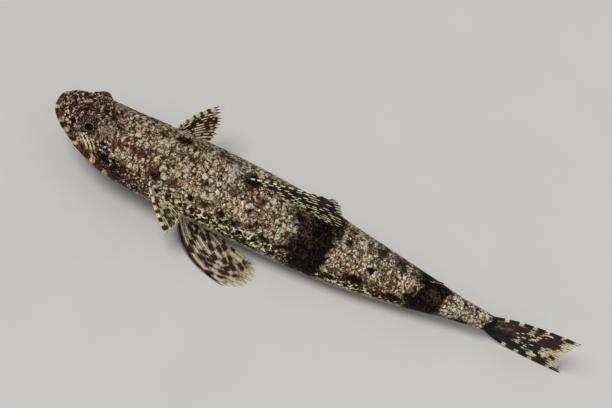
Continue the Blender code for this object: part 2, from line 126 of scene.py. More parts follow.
def within(x, low, full, fade, gone):
    """1 between full and fade and 0 outside low and gone, smooth between."""
    return smooth(low, full, x) * (1 - smooth(fade, gone, x))


def bump(distance, width):
    return np.exp(-((distance / width) ** 2))


def unit(vector):
    vector = np.asarray(vector, float)
    return vector / (np.linalg.norm(vector, axis=-1, keepdims=True) + 1e-12)


def stacked(*parts):
    """Numbers or arrays side by side along a new last axis."""
    return np.stack(np.broadcast_arrays(*parts), -1)


def strongest(masks):
    """The highest of some masks at each point."""
    return reduce(np.maximum, masks)


def section(s):
    """Bend, height of the widest level, half width, height above and below that level, and squareness."""
    share = np.sqrt(np.maximum(1.0 - (1.0 - np.clip(np.asarray(s, float) / SNOUT_ROUND, 0, 1)) ** 2, 0.0))
    belly, back = (
        SNOUT_HEIGHT + (curve_value(STATIONS, edge, s) - SNOUT_HEIGHT) * share for edge in (BELLY, BACK)
    )
    middle = belly + (back - belly) * curve_value(STATIONS, WIDEST, s)
    return (
        curve_value(STATIONS, BEND, s), middle, curve_value(STATIONS, HALF_WIDTH, s) * share,
        back - middle, middle - belly, curve_value(STATIONS, SQUARENESS, s),
    )


def section_radius(s, angle):
    """Distance from the middle of a section to its edge, at an angle from straight up."""
    _, _, half_width, above, below, square = section(s)
    up = np.cos(angle) >= 0
    height = np.where(up, above, below) + 1e-6
    power = np.where(up, square, BELLY_SQUARENESS)
    across = np.abs(np.sin(angle)) / (half_width + 1e-6)
    return (across**power + (np.abs(np.cos(angle)) / height) ** power) ** (-1 / power)


def plain_surface(s, angle):
    bend, middle, *_ = section(s)
    radius = section_radius(s, angle)
    return stacked(s, bend + radius * np.sin(angle), middle + radius * np.cos(angle))


def mouth_angle(s):
    """Angle from straight up at which the line of the mouth meets a section."""
    _, middle, *_ = section(s)
    target = curve_value(MOUTH_LINE, 1, s) - middle
    low, high = np.full(np.shape(s), 0.2), np.full(np.shape(s), math.pi - 0.2)
    for _ in range(16):
        half = (low + high) / 2
        above = section_radius(s, half) * np.cos(half) > target
        low, high = np.where(above, half, low), np.where(above, high, half)
    return (low + high) / 2


def to_frame(points):
    """Fish terms in millimetres to the frame in metres."""
    s, left, height = np.moveaxis(np.asarray(points, float), -1, 0)
    return stacked((s - TOTAL_LENGTH / 2) * MM, -(left - LEFT_OF_CENTRE) * MM, height * MM)


def lattice_noise(points, size, seed):
    """Smooth noise from 0 to 1 with cells of a size in millimetres."""
    p = np.asarray(points, float) / size + seed * 17.31
    cell = np.floor(p).astype(np.int64)
    f = p - cell
    f = f * f * (3 - 2 * f)
    total = 0.0
    for corner in product((0, 1), repeat=3):
        h = ((cell + corner) * (374761393, 668265263, 2147483647)).sum(axis=-1)
        h = ((h ^ (h >> 13)) * 1274126177) & 0x7FFFFFFF
        x, y, z = (f[..., i] if corner[i] else 1 - f[..., i] for i in range(3))
        total = total + x * y * z * (((h ^ (h >> 16)) & 0xFFFF) / 65535.0)
    return total


# ---- the skin's grid: rings along the body, columns from the back down one side and up the other

UP_COLUMNS, LOW_COLUMNS = 66, 38
HEAD_STEP, TRUNK_STEP = 0.34, 0.82
UNWRAP_LENGTH = 210.0


def ring_places():
    places, here, step = [], 0.0, 0.02
    while here < TAIL_END:
        here += step
        step = min(step * 1.25, HEAD_STEP) if here < 50 else min(step * 1.05, TRUNK_STEP)
        places.append(here)
    places = np.array([s for s in places if s < TAIL_END - 0.4] + [TAIL_END])
    nearest = np.argmin(np.abs(places - GILL_RING))
    places[nearest] = GILL_RING
    return np.insert(places, nearest + 1, GILL_RING + 0.07)


def column_angles(rings):
    """Angles of the left side's columns, even in length above and below a line that starts as the mouth."""
    line = mouth_angle(rings) + (2.0 - mouth_angle(rings)) * smooth(40, 85, rings)
    crowd = 1.0 + 0.25 * (1 - smooth(30, 60, rings))
    fine = np.linspace(0, math.pi, 241)
    angles = np.zeros((len(rings), UP_COLUMNS + LOW_COLUMNS + 1))
    for i, s in enumerate(rings):
        points = plain_surface(s, fine)
        arc = np.concatenate([[0], np.cumsum(np.linalg.norm(np.diff(points, axis=0), axis=1))])
        at = np.interp(line[i], fine, arc)
        up = at - at * (1 - np.arange(UP_COLUMNS) / UP_COLUMNS) ** crowd[i]
        low = at + (arc[-1] - at) * (np.arange(LOW_COLUMNS + 1) / LOW_COLUMNS) ** crowd[i]
        angles[i] = np.interp(np.concatenate([up, low]), arc, fine)
    return angles


def skin_shape():
    """Ring places, angles, distances from the snout, distances below the mouth, and points of the skin."""
    rings = ring_places()
    left = column_angles(rings)
    angle = np.concatenate([left, -left[:, -2:0:-1]], axis=1)
    place = np.repeat(rings[:, None], angle.shape[1], axis=1)
    at_gill = plain_surface(44.0, angle[np.argmin(np.abs(rings - 44.0))])[:, 2]
    follow = np.clip(curve_value(GILL_EDGE, 1, at_gill), 40.5, 48.2) - GILL_RING
    s = np.clip(place + follow[None, :] * bump(place - GILL_RING, 9.0), 0.0, TAIL_END)
    point = plain_surface(s, angle)
    normal = grid_normals(point)
    height = point[..., 2]
    radius = section_radius(s, angle)
    below = (np.abs(angle) - mouth_angle(s)) * radius

    # lips, the slit between them and the fold under them
    mouth = np.clip((MOUTH_CORNER + 2 - s) / 8, 0, 1) * np.clip(radius / 5, 0, 1)
    lift = mouth * (0.7 * bump(below + 1.3, 1.0) + 0.55 * bump(below - 1.15, 0.9) - 1.15 * bump(below, 0.3))
    lift -= mouth * 0.3 * bump(below + 2.9, 0.5)
    # the hollow between the eyes, the ridges beside it and the cheek
    lift -= bump(angle * radius, 3.2) * bump(s - EYE_CENTRE[0], 6.5)
    lift += 0.35 * bump(np.abs(angle * radius) - 4.2, 1.2) * within(s, 4, 9, 24, 32)
    lift += 0.7 * bump(s - 30.0, 6.0) * bump(height - 21.0, 5.0)
    cheek = s - curve_value(CHEEK_EDGE, 1, height)
    side = within(height, 8.5, 10.5, 26.5, 28.5) * (s < 47)
    lift += side * (0.35 * bump(cheek + 1.1, 1.0) - 0.4 * bump(cheek, 0.45))
    # the gill cover's raised edge, and the folds of the throat
    ahead = GILL_RING - place
    open_side = bump(height - 18.0, 9.0)
    lift += np.where(ahead >= -0.01, 0.8 * np.clip(1 - ahead / 11, 0, 1) * open_side, 0.0)
    lift -= np.where(ahead < -0.01, 0.45 * open_side * np.exp(ahead / 1.6), 0.0)
    throat = smooth(2.45, 2.7, np.abs(angle)) * within(s, 24, 30, 44, 48)
    lift -= 0.35 * throat * (0.5 + 0.5 * np.cos(np.abs(point[..., 1] - 2.0) * 2.6 - s * 0.25)) ** 3
    # rough skin on the head, gentle unevenness behind it, and the nostrils
    rough = lattice_noise(point, 1.6, 3) + 0.5 * lattice_noise(point, 0.8, 4) - 0.75
    lift += 0.26 * rough * within(s, 1, 5, 26, 40)
    lift += 0.10 * (lattice_noise(point, 5.0, 5) - 0.5) * smooth(40, 60, s)
    for nose, side_of in product(NOSTRILS, (1, -1)):
        away = np.linalg.norm(point - plain_surface(nose, side_of * NOSTRIL_ANGLE), axis=-1)
        lift += 0.5 * bump(away - 0.75, 0.32) - 0.8 * bump(away, 0.42)
    lift -= SCALE_DEPTH * smooth(24, 32, s)
    point = point + normal * lift[..., None]
    chin = np.clip((np.abs(angle) - mouth_angle(s)) / 0.12, 0, 1) * np.clip(1 - s / 14, 0, 1)
    point[..., 0] += CHIN_BACK * chin
    for side_of in (1, -1):
        point = drape_round_eye(point, side_of)
    point[..., 2] = np.maximum(point[..., 2], FLOOR_GAP)
    return place, angle, s, below, point


def grid_normals(point):
    """Outward normals of a grid of rings whose columns close on themselves."""
    along = np.gradient(point, axis=0)
    around = np.roll(point, -1, axis=1) - np.roll(point, 1, axis=1)
    normal = unit(np.cross(along, around))
    middle = point.mean(axis=1, keepdims=True)
    sign = np.sign(np.sum(normal * (point - middle), axis=-1, keepdims=True).sum(axis=1, keepdims=True))
    return normal * sign


def eye_place(side):
    """Centre and gaze of the eye on one side, 1 for the left and -1 for the right."""
    bend = float(curve_value(STATIONS, BEND, EYE_CENTRE[0]))
    centre = np.array([EYE_CENTRE[0], bend + side * EYE_CENTRE[1], EYE_CENTRE[2]])
    return centre, unit((GAZE[0], side * GAZE[1], GAZE[2]))


def drape_round_eye(point, side):
    """Lifts the skin over the eyeball in a rim, and sinks it behind the ball where the eye looks out."""
    centre, gaze = eye_place(side)
    away = point - centre
    far = np.linalg.norm(away, axis=-1)
    toward = unit(away)
    turn = np.arccos(np.clip(toward @ gaze, -1, 1))
    near = far < EYE_RADIUS + 5.0
    snap = near & (np.abs(turn - LID_ANGLE) < math.radians(2.6)) & (far < EYE_RADIUS + 2.5)
    across = unit(toward - gaze * (toward @ gaze)[..., None])
    on_edge = gaze * math.cos(LID_ANGLE) + across * math.sin(LID_ANGLE)
    toward = np.where(snap[..., None], on_edge, toward)
    turn = np.where(snap, LID_ANGLE, turn)
    past = np.maximum(turn - LID_ANGLE, 0.0)
    rim = EYE_RADIUS + 0.35 + 0.55 * bump(past - 0.16, 0.14) - 2.5 * smooth(0.35, 1.1, past)
    outside = np.where(near, np.log(np.exp(np.clip(2.5 * far, 0, 60)) + np.exp(2.5 * rim)) / 2.5, far)
    outside = np.where(outside - far < 0.02, far, outside)
    open_eye = near & (turn < LID_ANGLE - 1e-6)
    new = np.where(open_eye, np.minimum(far, EYE_RADIUS - 0.9), outside)
    return np.where(near[..., None], centre + toward * new[..., None], point)


# ---- the markings, the same for skin and scales

# Dark blotches: distance from the snout, degrees down from the back, half length, half height, strength
BLOTCHES = (
    (55, -18, 3.2, 3.2, 0.8), (51, 60, 1.8, 2.2, 0.9), (87, 3, 3.4, 3.0, 1.0), (91.5, 43, 1.4, 1.5, 1.0),
    (71.5, 39, 1.1, 1.2, 0.9), (94, 22, 4.0, 1.6, 0.5), (96.5, 58, 1.3, 1.5, 0.9), (105, 43, 1.2, 1.3, 0.9),
    (67.5, 68, 1.8, 1.6, 1.0), (74, 66, 1.6, 1.5, 0.9), (81, 71, 2.0, 1.7, 1.0), (88, 73, 2.2, 1.8, 1.0),
    (94, 66, 1.6, 1.4, 0.8), (102, 74, 3.2, 1.7, 1.0), (108, 76, 2.6, 1.6, 0.9), (132, 92, 3.2, 2.0, 1.0),
    (142, 74, 5.0, 2.6, 1.0), (147, 41, 1.6, 1.7, 1.0), (149, 32, 1.1, 1.2, 0.8), (148, -3, 3.4, 2.6, 0.6),
    (160, 86, 4.4, 2.4, 1.0), (158, 3, 2.6, 2.4, 0.6), (189.5, 106, 3.4, 1.8, 1.0), (134, 15, 2.4, 2.0, 0.6),
    (189.2, 12, 0.9, 3.4, 0.55), (194.2, 14, 0.9, 2.8, 0.5), (35, -14, 3.0, 3.2, 0.35),
    (47, -10, 3.0, 3.0, 0.5), (62, -26, 8.0, 3.2, 0.42), (75, -22, 6.0, 2.6, 0.42), (44.0, 40, 1.4, 0.6, 1.0),
    (62, 14, 2.6, 2.0, 0.5), (46, 28, 2.4, 1.6, 0.5), (79, 30, 2.2, 1.4, 0.45),
)
# Whitish patches, in the same terms
PATCHES = (
    (61, 30, 1.9, 1.9, 0.9), (58, 37, 2.0, 1.6, 0.7), (78.5, 8, 2.4, 2.8, 1.0), (140, 2, 1.7, 3.2, 0.9),
    (130.8, 2, 1.6, 3.6, 0.8), (48.5, 10, 2.0, 2.4, 0.6), (110, 33, 2.6, 3.4, 0.6), (66, -12, 2.4, 2.4, 0.6),
    (156, 4, 2.2, 2.2, 0.5), (162, 50, 1.6, 1.6, 0.8), (134, 40, 2.4, 2.4, 0.5), (196.5, 35, 2.0, 3.0, 0.6),
    (104, 14, 2.0, 3.0, 0.5), (70, 20, 2.0, 1.6, 0.5), (190.0, 50, 9.0, 5.0, 0.45), (73, 52, 9.0, 2.6, 0.5),
    (145, 25, 6.0, 4.0, 0.4), (92, 50, 5.0, 3.0, 0.4), (135, 55, 4.0, 3.0, 0.45),
)
# Saddles over the back: front edge, rear edge, how soft each edge is, lowest reach in degrees
SADDLES = ((112.5, 129.0, 9.0, 2.6, 122), (166.4, 181.4, 4.5, 3.0, 130), (200.6, 216.0, 0.5, 1.0, 180))
# Pale bars on the lips: distance from the snout and half width
LIP_BARS = ((0.9, 0.8), (5.0, 0.75), (8.8, 0.8), (14.3, 0.8), (23.6, 1.3), (30.5, 0.9))
# Thin rust-red lines on the crown, as distance from the snout and degrees down from the back
CROWN_LINE = ((30.8, 52), (30.2, 43), (32.0, 37), (38.0, 36), (44.5, 40))


def spots(s, degrees, table):
    """The strongest of a table's spots at each point; one with degrees below 0 is on the right side only."""
    _, _, half_width, above, below, _ = section(s)
    size = np.radians((half_width + (above + below) / 2) / 2)

    def spot(at, down, half_length, half_height, strength):
        side = degrees if down < 0 else np.abs(degrees)
        reach = ((s - at) / half_length) ** 2 + ((side - down) * size / half_height) ** 2
        return strength * np.exp(-(reach**1.5))

    return strongest(spot(*row) for row in table)


def markings(s, angle, below, point):
    """The pattern as masks: the stored colours marks_a, marks_b and marks_d, and the zone of the sides."""
    degrees = np.degrees(angle)
    down = np.abs(degrees)
    wobble, fine, broad = (lattice_noise(point, *cells) - 0.5 for cells in ((3.2, 11), (1.1, 12), (7.0, 13)))
    shifted = s + 5.5 * broad + 6.5 * wobble + 2.5 * fine
    dark = spots(s + 1.5 * wobble, degrees + 8 * fine, BLOTCHES)
    for front, rear, soft_front, soft_rear, reach in SADDLES:
        ragged = s + 2.5 * fine + 4.5 * wobble + down / 50
        band = smooth(front - soft_front, front + soft_front, shifted)
        band = band * (1 - smooth(rear - soft_rear, rear + soft_rear, ragged))
        dark = np.maximum(dark, band * (1 - smooth(reach - 14, reach + 8, down + 16 * wobble)))
    glow = 0.75 * bump(s + 4 * wobble - 175.0, 4.2) * bump(down + 30 * broad - 34, 30)
    glow = glow + 0.6 * bump(s + 5 * wobble - 118.0, 4.4) * bump(down + 20 * broad - 36, 20)
    pale = spots(s + 1.2 * fine, degrees + 10 * wobble, PATCHES)
    belly = smooth(103, 124, down + 16 * wobble + 8 * fine) * smooth(20, 44, s)

    head = 1 - smooth(25, 33, s + 6 * wobble + 4 * broad - 0.02 * (down - 40))
    jowl = (1 - smooth(41, 51, s + 8 * broad + 3 * wobble)) * smooth(52, 68, down + 26 * wobble)
    head = np.maximum(head, jowl)
    cheek = smooth(19, 25, s + 3 * wobble) * smooth(54, 68, down + 18 * wobble)
    cheek = cheek * (1 - smooth(33, 46, s + 10 * broad + 5 * wobble))
    temple = bump(s - 25.5, 4.0) * bump(down - 30, 16)
    gold = 1.2 * smooth(56, 66, s) * (1 - smooth(98, 108, shifted)) * bump(down - 54 + 14 * wobble, 14)
    gold = np.maximum(gold, 0.9 * bump(s - 144 + 6 * wobble, 13) * bump(down - 58 + 14 * wobble, 18))
    gold = np.maximum(gold, 0.8 * smooth(182, 187, s + 3 * wobble) * (1 - smooth(197, 200, s)))
    temple = np.maximum(temple * (s < 34), gold * (s > 50))

    lip = np.clip((MOUTH_CORNER + 1 - s) / 4, 0, 1) * (1 - smooth(2.8, 3.6, np.abs(below + 1.6)))
    along = np.hypot(s, point[..., 1] - section(s)[0]) + 0.8 * np.sign(below)
    bar = np.zeros(np.shape(s))
    for at, half in LIP_BARS:
        middle = np.hypot(at, plain_surface(at, mouth_angle(at))[1] - section(at)[0])
        bar = np.maximum(bar, 1 - smooth(half * 0.7, half * 1.3, np.abs(along - middle + fine)))
    stripes = 0.5 + 0.5 * np.cos((s * 0.75 - down * 0.17) * 3.0 + 3.5 * wobble)
    streak = smooth(0.3, 0.7, stripes) * bump(s - 19.0, 5.2) ** 0.7 * bump(down - 67, 12) ** 0.7
    around_eye = np.zeros(np.shape(s))
    for side_of in (1, -1):
        centre, gaze = eye_place(side_of)
        away = point - centre
        out = away @ gaze
        far = np.linalg.norm(away - gaze * out[..., None], axis=-1)
        turn = np.arctan2(away[..., 2] - gaze[2] * out, away[..., 0])
        rays = smooth(0.45, 0.9, np.cos(turn * 11 + 4 * wobble)) * bump(far - 5.0, 1.3)
        around_eye = np.maximum(around_eye, rays * (out > -1.0) * 0.54)
    streak = np.maximum(streak, around_eye * (1 - smooth(70, 80, down)))
    warm = 0.8 * bump(s - 36.0, 1.3) * bump(down - 64, 4) + 0.7 * bump(s - 76.0, 0.8) * bump(down - 14, 4)

    lower = bump(down - 94, 17) ** 0.7 * smooth(46, 54, s) * (1 - 0.6 * smooth(160, 185, s))
    line = np.zeros(np.shape(s))
    for (s0, a0), (s1, a1) in zip(CROWN_LINE, CROWN_LINE[1:]):
        run = ((s - s0) * (s1 - s0) + (down - a0) * (a1 - a0) * 0.08) / ((s1 - s0) ** 2 + 0.08 * (a1 - a0) ** 2)
        run = np.clip(run, 0, 1)
        gap = np.hypot(s - s0 - run * (s1 - s0), 0.27 * (down - a0 - run * (a1 - a0)))
        line = np.maximum(line, 1.3 * bump(gap, 0.7))
    row = bump(down - 68 + 10 * wobble + 6 * fine, 4.5) * within(s, 56, 62, 158, 166)
    row = row * (1 - dark) * smooth(-0.25, 0.1, lattice_noise(point, 2.2, 17) - 0.5)
    line = np.maximum(line, 0.62 * row)
    return (
        stacked(dark, pale, belly, head),
        stacked(lip, bar * lip, streak, np.clip(warm, 0, 1)),
        lower,
        stacked(cheek, temple, np.clip(glow, 0, 1), line),
    )


def nape_zone(s, angle):
    """1 where the scales show as pale discs, behind the head."""
    return within(s, 24, 30, 56, 82) * (1 - smooth(56, 70, np.degrees(np.abs(angle))))


# ---- making meshes


def new_thing(name, data):
    thing = bpy.data.objects.new(name, data)
    bpy.context.scene.collection.objects.link(thing)
    return thing


def mesh_thing(name, points, faces=(), edges=()):
    """An object with a smooth mesh, from points in the frame."""
    mesh = bpy.data.meshes.new(name)
    mesh.from_pydata(np.asarray(points).tolist(), edges, faces)
    mesh.polygons.foreach_set("use_smooth", np.full(len(mesh.polygons), True))
    mesh.update()
    return new_thing(name, mesh)


def store(mesh, kind, **layers):
    """Stores one value for each point of a mesh, under each layer's name."""
    key = {"FLOAT": "value", "FLOAT_VECTOR": "vector", "FLOAT_COLOR": "color"}[kind]
    for name, values in layers.items():
        mesh.attributes.new(name, kind, "POINT").data.foreach_set(key, np.asarray(values, np.float32).ravel())


def store_map(mesh, pairs):
    """Stores the UV map, one pair for each corner of a face."""
    mesh.uv_layers.new(name="OFBake").data.foreach_set("uv", np.asarray(pairs, np.float32).ravel())


def corner_points(mesh):
    corner = np.zeros(len(mesh.loops), np.int32)
    mesh.loops.foreach_get("vertex_index", corner)
    return corner


def drop_layers(mesh, *names):
    for name in names:
        if name in mesh.attributes:
            mesh.attributes.remove(mesh.attributes[name])


def grid_faces(rows, columns, closed):
    """Quads of a grid, with the columns closed on themselves or not."""
    row = np.arange(rows - 1)[:, None]
    column = np.arange(columns if closed else columns - 1)[None, :]
    after = (column + 1) % columns
    a, b = row * columns + column, row * columns + after
    return stacked(a, b, b + columns, a + columns).reshape(-1, 4)


def shell_faces(rows, columns):
    """Faces of a closed grid with a fan at each end, to two more points after those of the grid."""
    count, last = rows * columns, (rows - 1) * columns
    faces = grid_faces(rows, columns, True).tolist()
    faces += [((i + 1) % columns, i, count) for i in range(columns)]
    return faces + [(last + i, last + (i + 1) % columns, count + 1) for i in range(columns)]


def make_skin():
    """The skin, and its grids, which the scales need."""
    place, angle, s, below, point = grids = skin_shape()
    rows, columns = place.shape
    tip, end = point[0].mean(axis=0) - (0.1, 0, 0), point[-1].mean(axis=0) + (0.2, 0, 0)
    everywhere = np.concatenate([point.reshape(-1, 3), [tip, end]])
    skin = mesh_thing("skin", to_frame(everywhere), shell_faces(rows, columns))
    mesh = skin.data
    marks_a, marks_b, lower, marks_d = markings(s, angle, below, point)
    marks_c = stacked(1.0, 0.0, 0.3 * nape_zone(s, angle), lower)
    for name, marks in dict(marks_a=marks_a, marks_b=marks_b, marks_c=marks_c, marks_d=marks_d).items():
        marks = np.concatenate([marks.reshape(-1, 4), marks[0, :1], marks[-1, :1]])
        store(mesh, "FLOAT_COLOR", **{name: marks})
    outward = grid_normals(point) * (1, -1, 1)
    store(mesh, "FLOAT_VECTOR", outward=np.concatenate([outward.reshape(-1, 3), [(-1.0, 0, 0), (1.0, 0, 0)]]))
    corner = corner_points(mesh)
    u = np.append(place.ravel() / UNWRAP_LENGTH, [0.0, TAIL_END / UNWRAP_LENGTH])
    v = np.append(np.tile(np.arange(columns) / columns, rows), [0.5, 0.5])
    cu, cv = u[corner], v[corner]
    owner = np.repeat(np.arange(len(mesh.polygons)), [p.loop_total for p in mesh.polygons])
    highest = np.zeros(len(mesh.polygons))
    np.maximum.at(highest, owner, cv)
    wraps = (cv == 0) & (highest[owner] > 0.75) & (corner < rows * columns)
    store_map(mesh, stacked(cu, np.where(wraps, 1.0, cv)))
    return skin, grids


skin, (ring_place, ring_angle, ring_s, ring_below, ring_point) = make_skin()


# ---- node helpers


def give(socket, value):
    """Links an output to a socket, or sets the socket to a value."""
    value = getattr(value, "socket", value)
    if isinstance(value, bpy.types.NodeSocket):
        socket.id_data.links.new(value, socket)
    elif value is not None:
        socket.default_value = value


def add_node(tree, kind, inputs=None, **settings):
    """Adds a node with its settings, and with inputs by name or number."""
    node = tree.nodes.new(kind)
    for key, value in settings.items():
        setattr(node, key, value)
    for key, value in (inputs or {}).items():
        give(node.inputs[key], value)
    return node


def output(tree, kind, inputs=None, **settings):
    """The first output of a new node."""
    return add_node(tree, kind, inputs, **settings).outputs[0]


def new_tree(kind, name, inputs, result):
    """An empty tree with named inputs and one result: the tree, its inputs, and the socket for the result."""
    tree = bpy.data.node_groups.new(name, kind)
    for label, socket in inputs.items():
        tree.interface.new_socket(label, in_out="INPUT", socket_type="NodeSocket" + socket)
    tree.interface.new_socket("Result", in_out="OUTPUT", socket_type="NodeSocket" + result)
    source, sink = tree.nodes.new("NodeGroupInput"), tree.nodes.new("NodeGroupOutput")
    return tree, source.outputs, sink.inputs[0]


def finish_tree(tree, geometry, finish, result):
    real = output(tree, "GeometryNodeRealizeInstances", {"Geometry": geometry})
    give(result, output(tree, "GeometryNodeSetMaterial", {"Geometry": real, "Material": finish}))
    return tree


def stored(tree, name, kind="FLOAT_VECTOR"):
    return output(tree, "GeometryNodeInputNamedAttribute", {"Name": name}, data_type=kind)


def run_tree(thing, tree, values):
    """Gives a thing the tree with its inputs, and replaces its mesh by the result."""
    modifier = thing.modifiers.new(tree.name, "NODES")
    modifier.node_group = tree
    for item in tree.interface.items_tree:
        if item.item_type == "SOCKET" and item.in_out == "INPUT" and item.name in values:
            modifier[item.identifier] = values[item.name]
    bpy.context.view_layer.update()
    mesh = bpy.data.meshes.new_from_object(thing.evaluated_get(bpy.context.evaluated_depsgraph_get()))
    old = thing.data
    thing.modifiers.remove(modifier)
    mesh.name = thing.name
    thing.data = mesh
    bpy.data.meshes.remove(old)
    mesh.polygons.foreach_set("use_smooth", np.full(len(mesh.polygons), True))


def shown(colour):
    """A colour as it looks on a screen, turned into the shader's own terms; any other input as it is."""
    if not isinstance(colour, tuple):
        return colour
    return tuple(c / 12.92 if c <= 0.04045 else ((c + 0.055) / 1.055) ** 2.4 for c in colour) + (1.0,)


class Wire:
    """An output in a shader tree that sums and products can be written with."""

    def __init__(self, socket):
        self.socket, self.tree = socket, socket.id_data

    def math(self, operation, a, b=0.0, clamp=False):
        return Wire(output(self.tree, "ShaderNodeMath", {0: a, 1: b}, operation=operation, use_clamp=clamp))

    def __add__(self, other):
        return self.math("ADD", self, other)

    def __sub__(self, other):
        return self.math("SUBTRACT", self, other)

    def __rsub__(self, other):
        return self.math("SUBTRACT", other, self)

    def __mul__(self, other):
        return self.math("MULTIPLY", self, other)

    def __abs__(self):
        return self.math("ABSOLUTE", self)

    def or_else(self, other):
        """The larger of two masks."""
        return self.math("MAXIMUM", self, other)

    def plus(self, other):
        """The sum, held between 0 and 1."""
        return self.math("ADD", self, other, True)

    def step(self, low, high):
        """0 below low and 1 above high, smooth between."""
        inputs = {"Value": self, "From Min": low, "From Max": high}
        return Wire(output(self.tree, "ShaderNodeMapRange", inputs, interpolation_type="SMOOTHSTEP"))

    def mix(self, under, over):
        """The colour under where this is 0, and over where it is 1."""
        inputs = {0: self, 6: shown(under), 7: shown(over)}
        return Wire(add_node(self.tree, "ShaderNodeMix", inputs, data_type="RGBA").outputs[2])

    def effect(self, group, *values):
        inputs = dict(enumerate((self, *values)))
        return Wire(output(self.tree, "ShaderNodeGroup", inputs, node_tree=group))

    def broken(self, noise, spread=0.5, low=0.35, high=0.65):
        return self.effect(BROKEN_EDGE, noise, spread, low, high)

    def tones(self, low, high, under, over):
        return self.effect(TWO_TONES, low, high, shown(under), shown(over))


def shader_group(name, build, result, **inputs):
    """An effect that several materials use, with named inputs and one output."""
    tree, given, end = new_tree("ShaderNodeTree", name, inputs, result)
    give(end, build(*(Wire(given[label]) for label in inputs)))
    return tree


def broken_edge(mask, noise, spread, low, high):
    """A mask with its edge broken up by noise."""
    return (mask + (noise - 0.5) * spread).step(low, high)


def two_tones(noise, low, high, under, over):
    """Two colours parted by noise."""
    return noise.step(low, high).mix(under, over)


def freckles(place, per_metre, noise, uneven, edge, heart):
    """Dots scattered over a surface."""
    distance = Wire(output(place.tree, "ShaderNodeTexVoronoi", {"Vector": place, "Scale": per_metre}))
    return (distance + (noise - 0.5) * uneven).step(edge, heart)


BROKEN_EDGE = shader_group(
    "broken_edge", broken_edge, "Float", Mask="Float", Noise="Float", Spread="Float", Low="Float", High="Float"
)
TWO_TONES = shader_group(
    "two_tones", two_tones, "Color", Noise="Float", Low="Float", High="Float", Under="Color", Over="Color"
)
FRECKLES = shader_group(
    "freckles", freckles, "Float",
    Place="Vector", Per_metre="Float", Noise="Float", Uneven="Float", Edge="Float", Heart="Float",
)


def layered(colour, *layers):
    """A colour with others laid over it, each by its own mask."""
    for mask, over in layers:
        colour = mask.mix(colour, over)
    return colour


class Paint:
    """Builds one Principled material."""

    def __init__(self, name):
        self.material = bpy.data.materials.new(name)
        self.material.use_nodes = True
        self.tree = self.material.node_tree
        self.place = Wire(add_node(self.tree, "ShaderNodeTexCoord").outputs["Object"])

    def split(self, name):
        """The four numbers of a stored colour."""
        found = add_node(self.tree, "ShaderNodeAttribute", attribute_name=name).outputs
        parts = add_node(self.tree, "ShaderNodeSeparateColor", {"Color": found["Color"]}).outputs
        return [Wire(socket) for socket in (*parts[:3], found["Alpha"])]

    def noise(self, size, detail=3.0, rough=0.55, warp=0.0):
        """Noise from 0 to 1 whose features are about a size in millimetres."""
        inputs = {"Vector": self.place, "Scale": 1 / (size * MM), "Detail": detail, "Roughness": rough}
        return Wire(output(self.tree, "ShaderNodeTexNoise", {**inputs, "Distortion": warp}))

    def freckles(self, spacing, *settings):
        """Dots about a spacing in millimetres apart."""
        return self.place.effect(FRECKLES, 1 / (spacing * MM), *settings)

    def relief(self, height, strength, distance):
        inputs = {"Height": height, "Strength": strength, "Distance": distance}
        return output(self.tree, "ShaderNodeBump", inputs)

    def finish(self, colour, rough, normal=None, coat=0.0, coat_rough=0.2, alpha=None, specular=0.18):
        inputs = self.tree.nodes["Principled BSDF"].inputs
        for key, value in {
            "Base Color": colour, "Roughness": rough, "Normal": normal, "Alpha": alpha, "Coat Weight": coat,
            "Specular IOR Level": specular, "Coat Roughness": coat_rough,
        }.items():
            give(inputs[key], value)
        return self.material


# ---- materials, with colours as they look on a screen


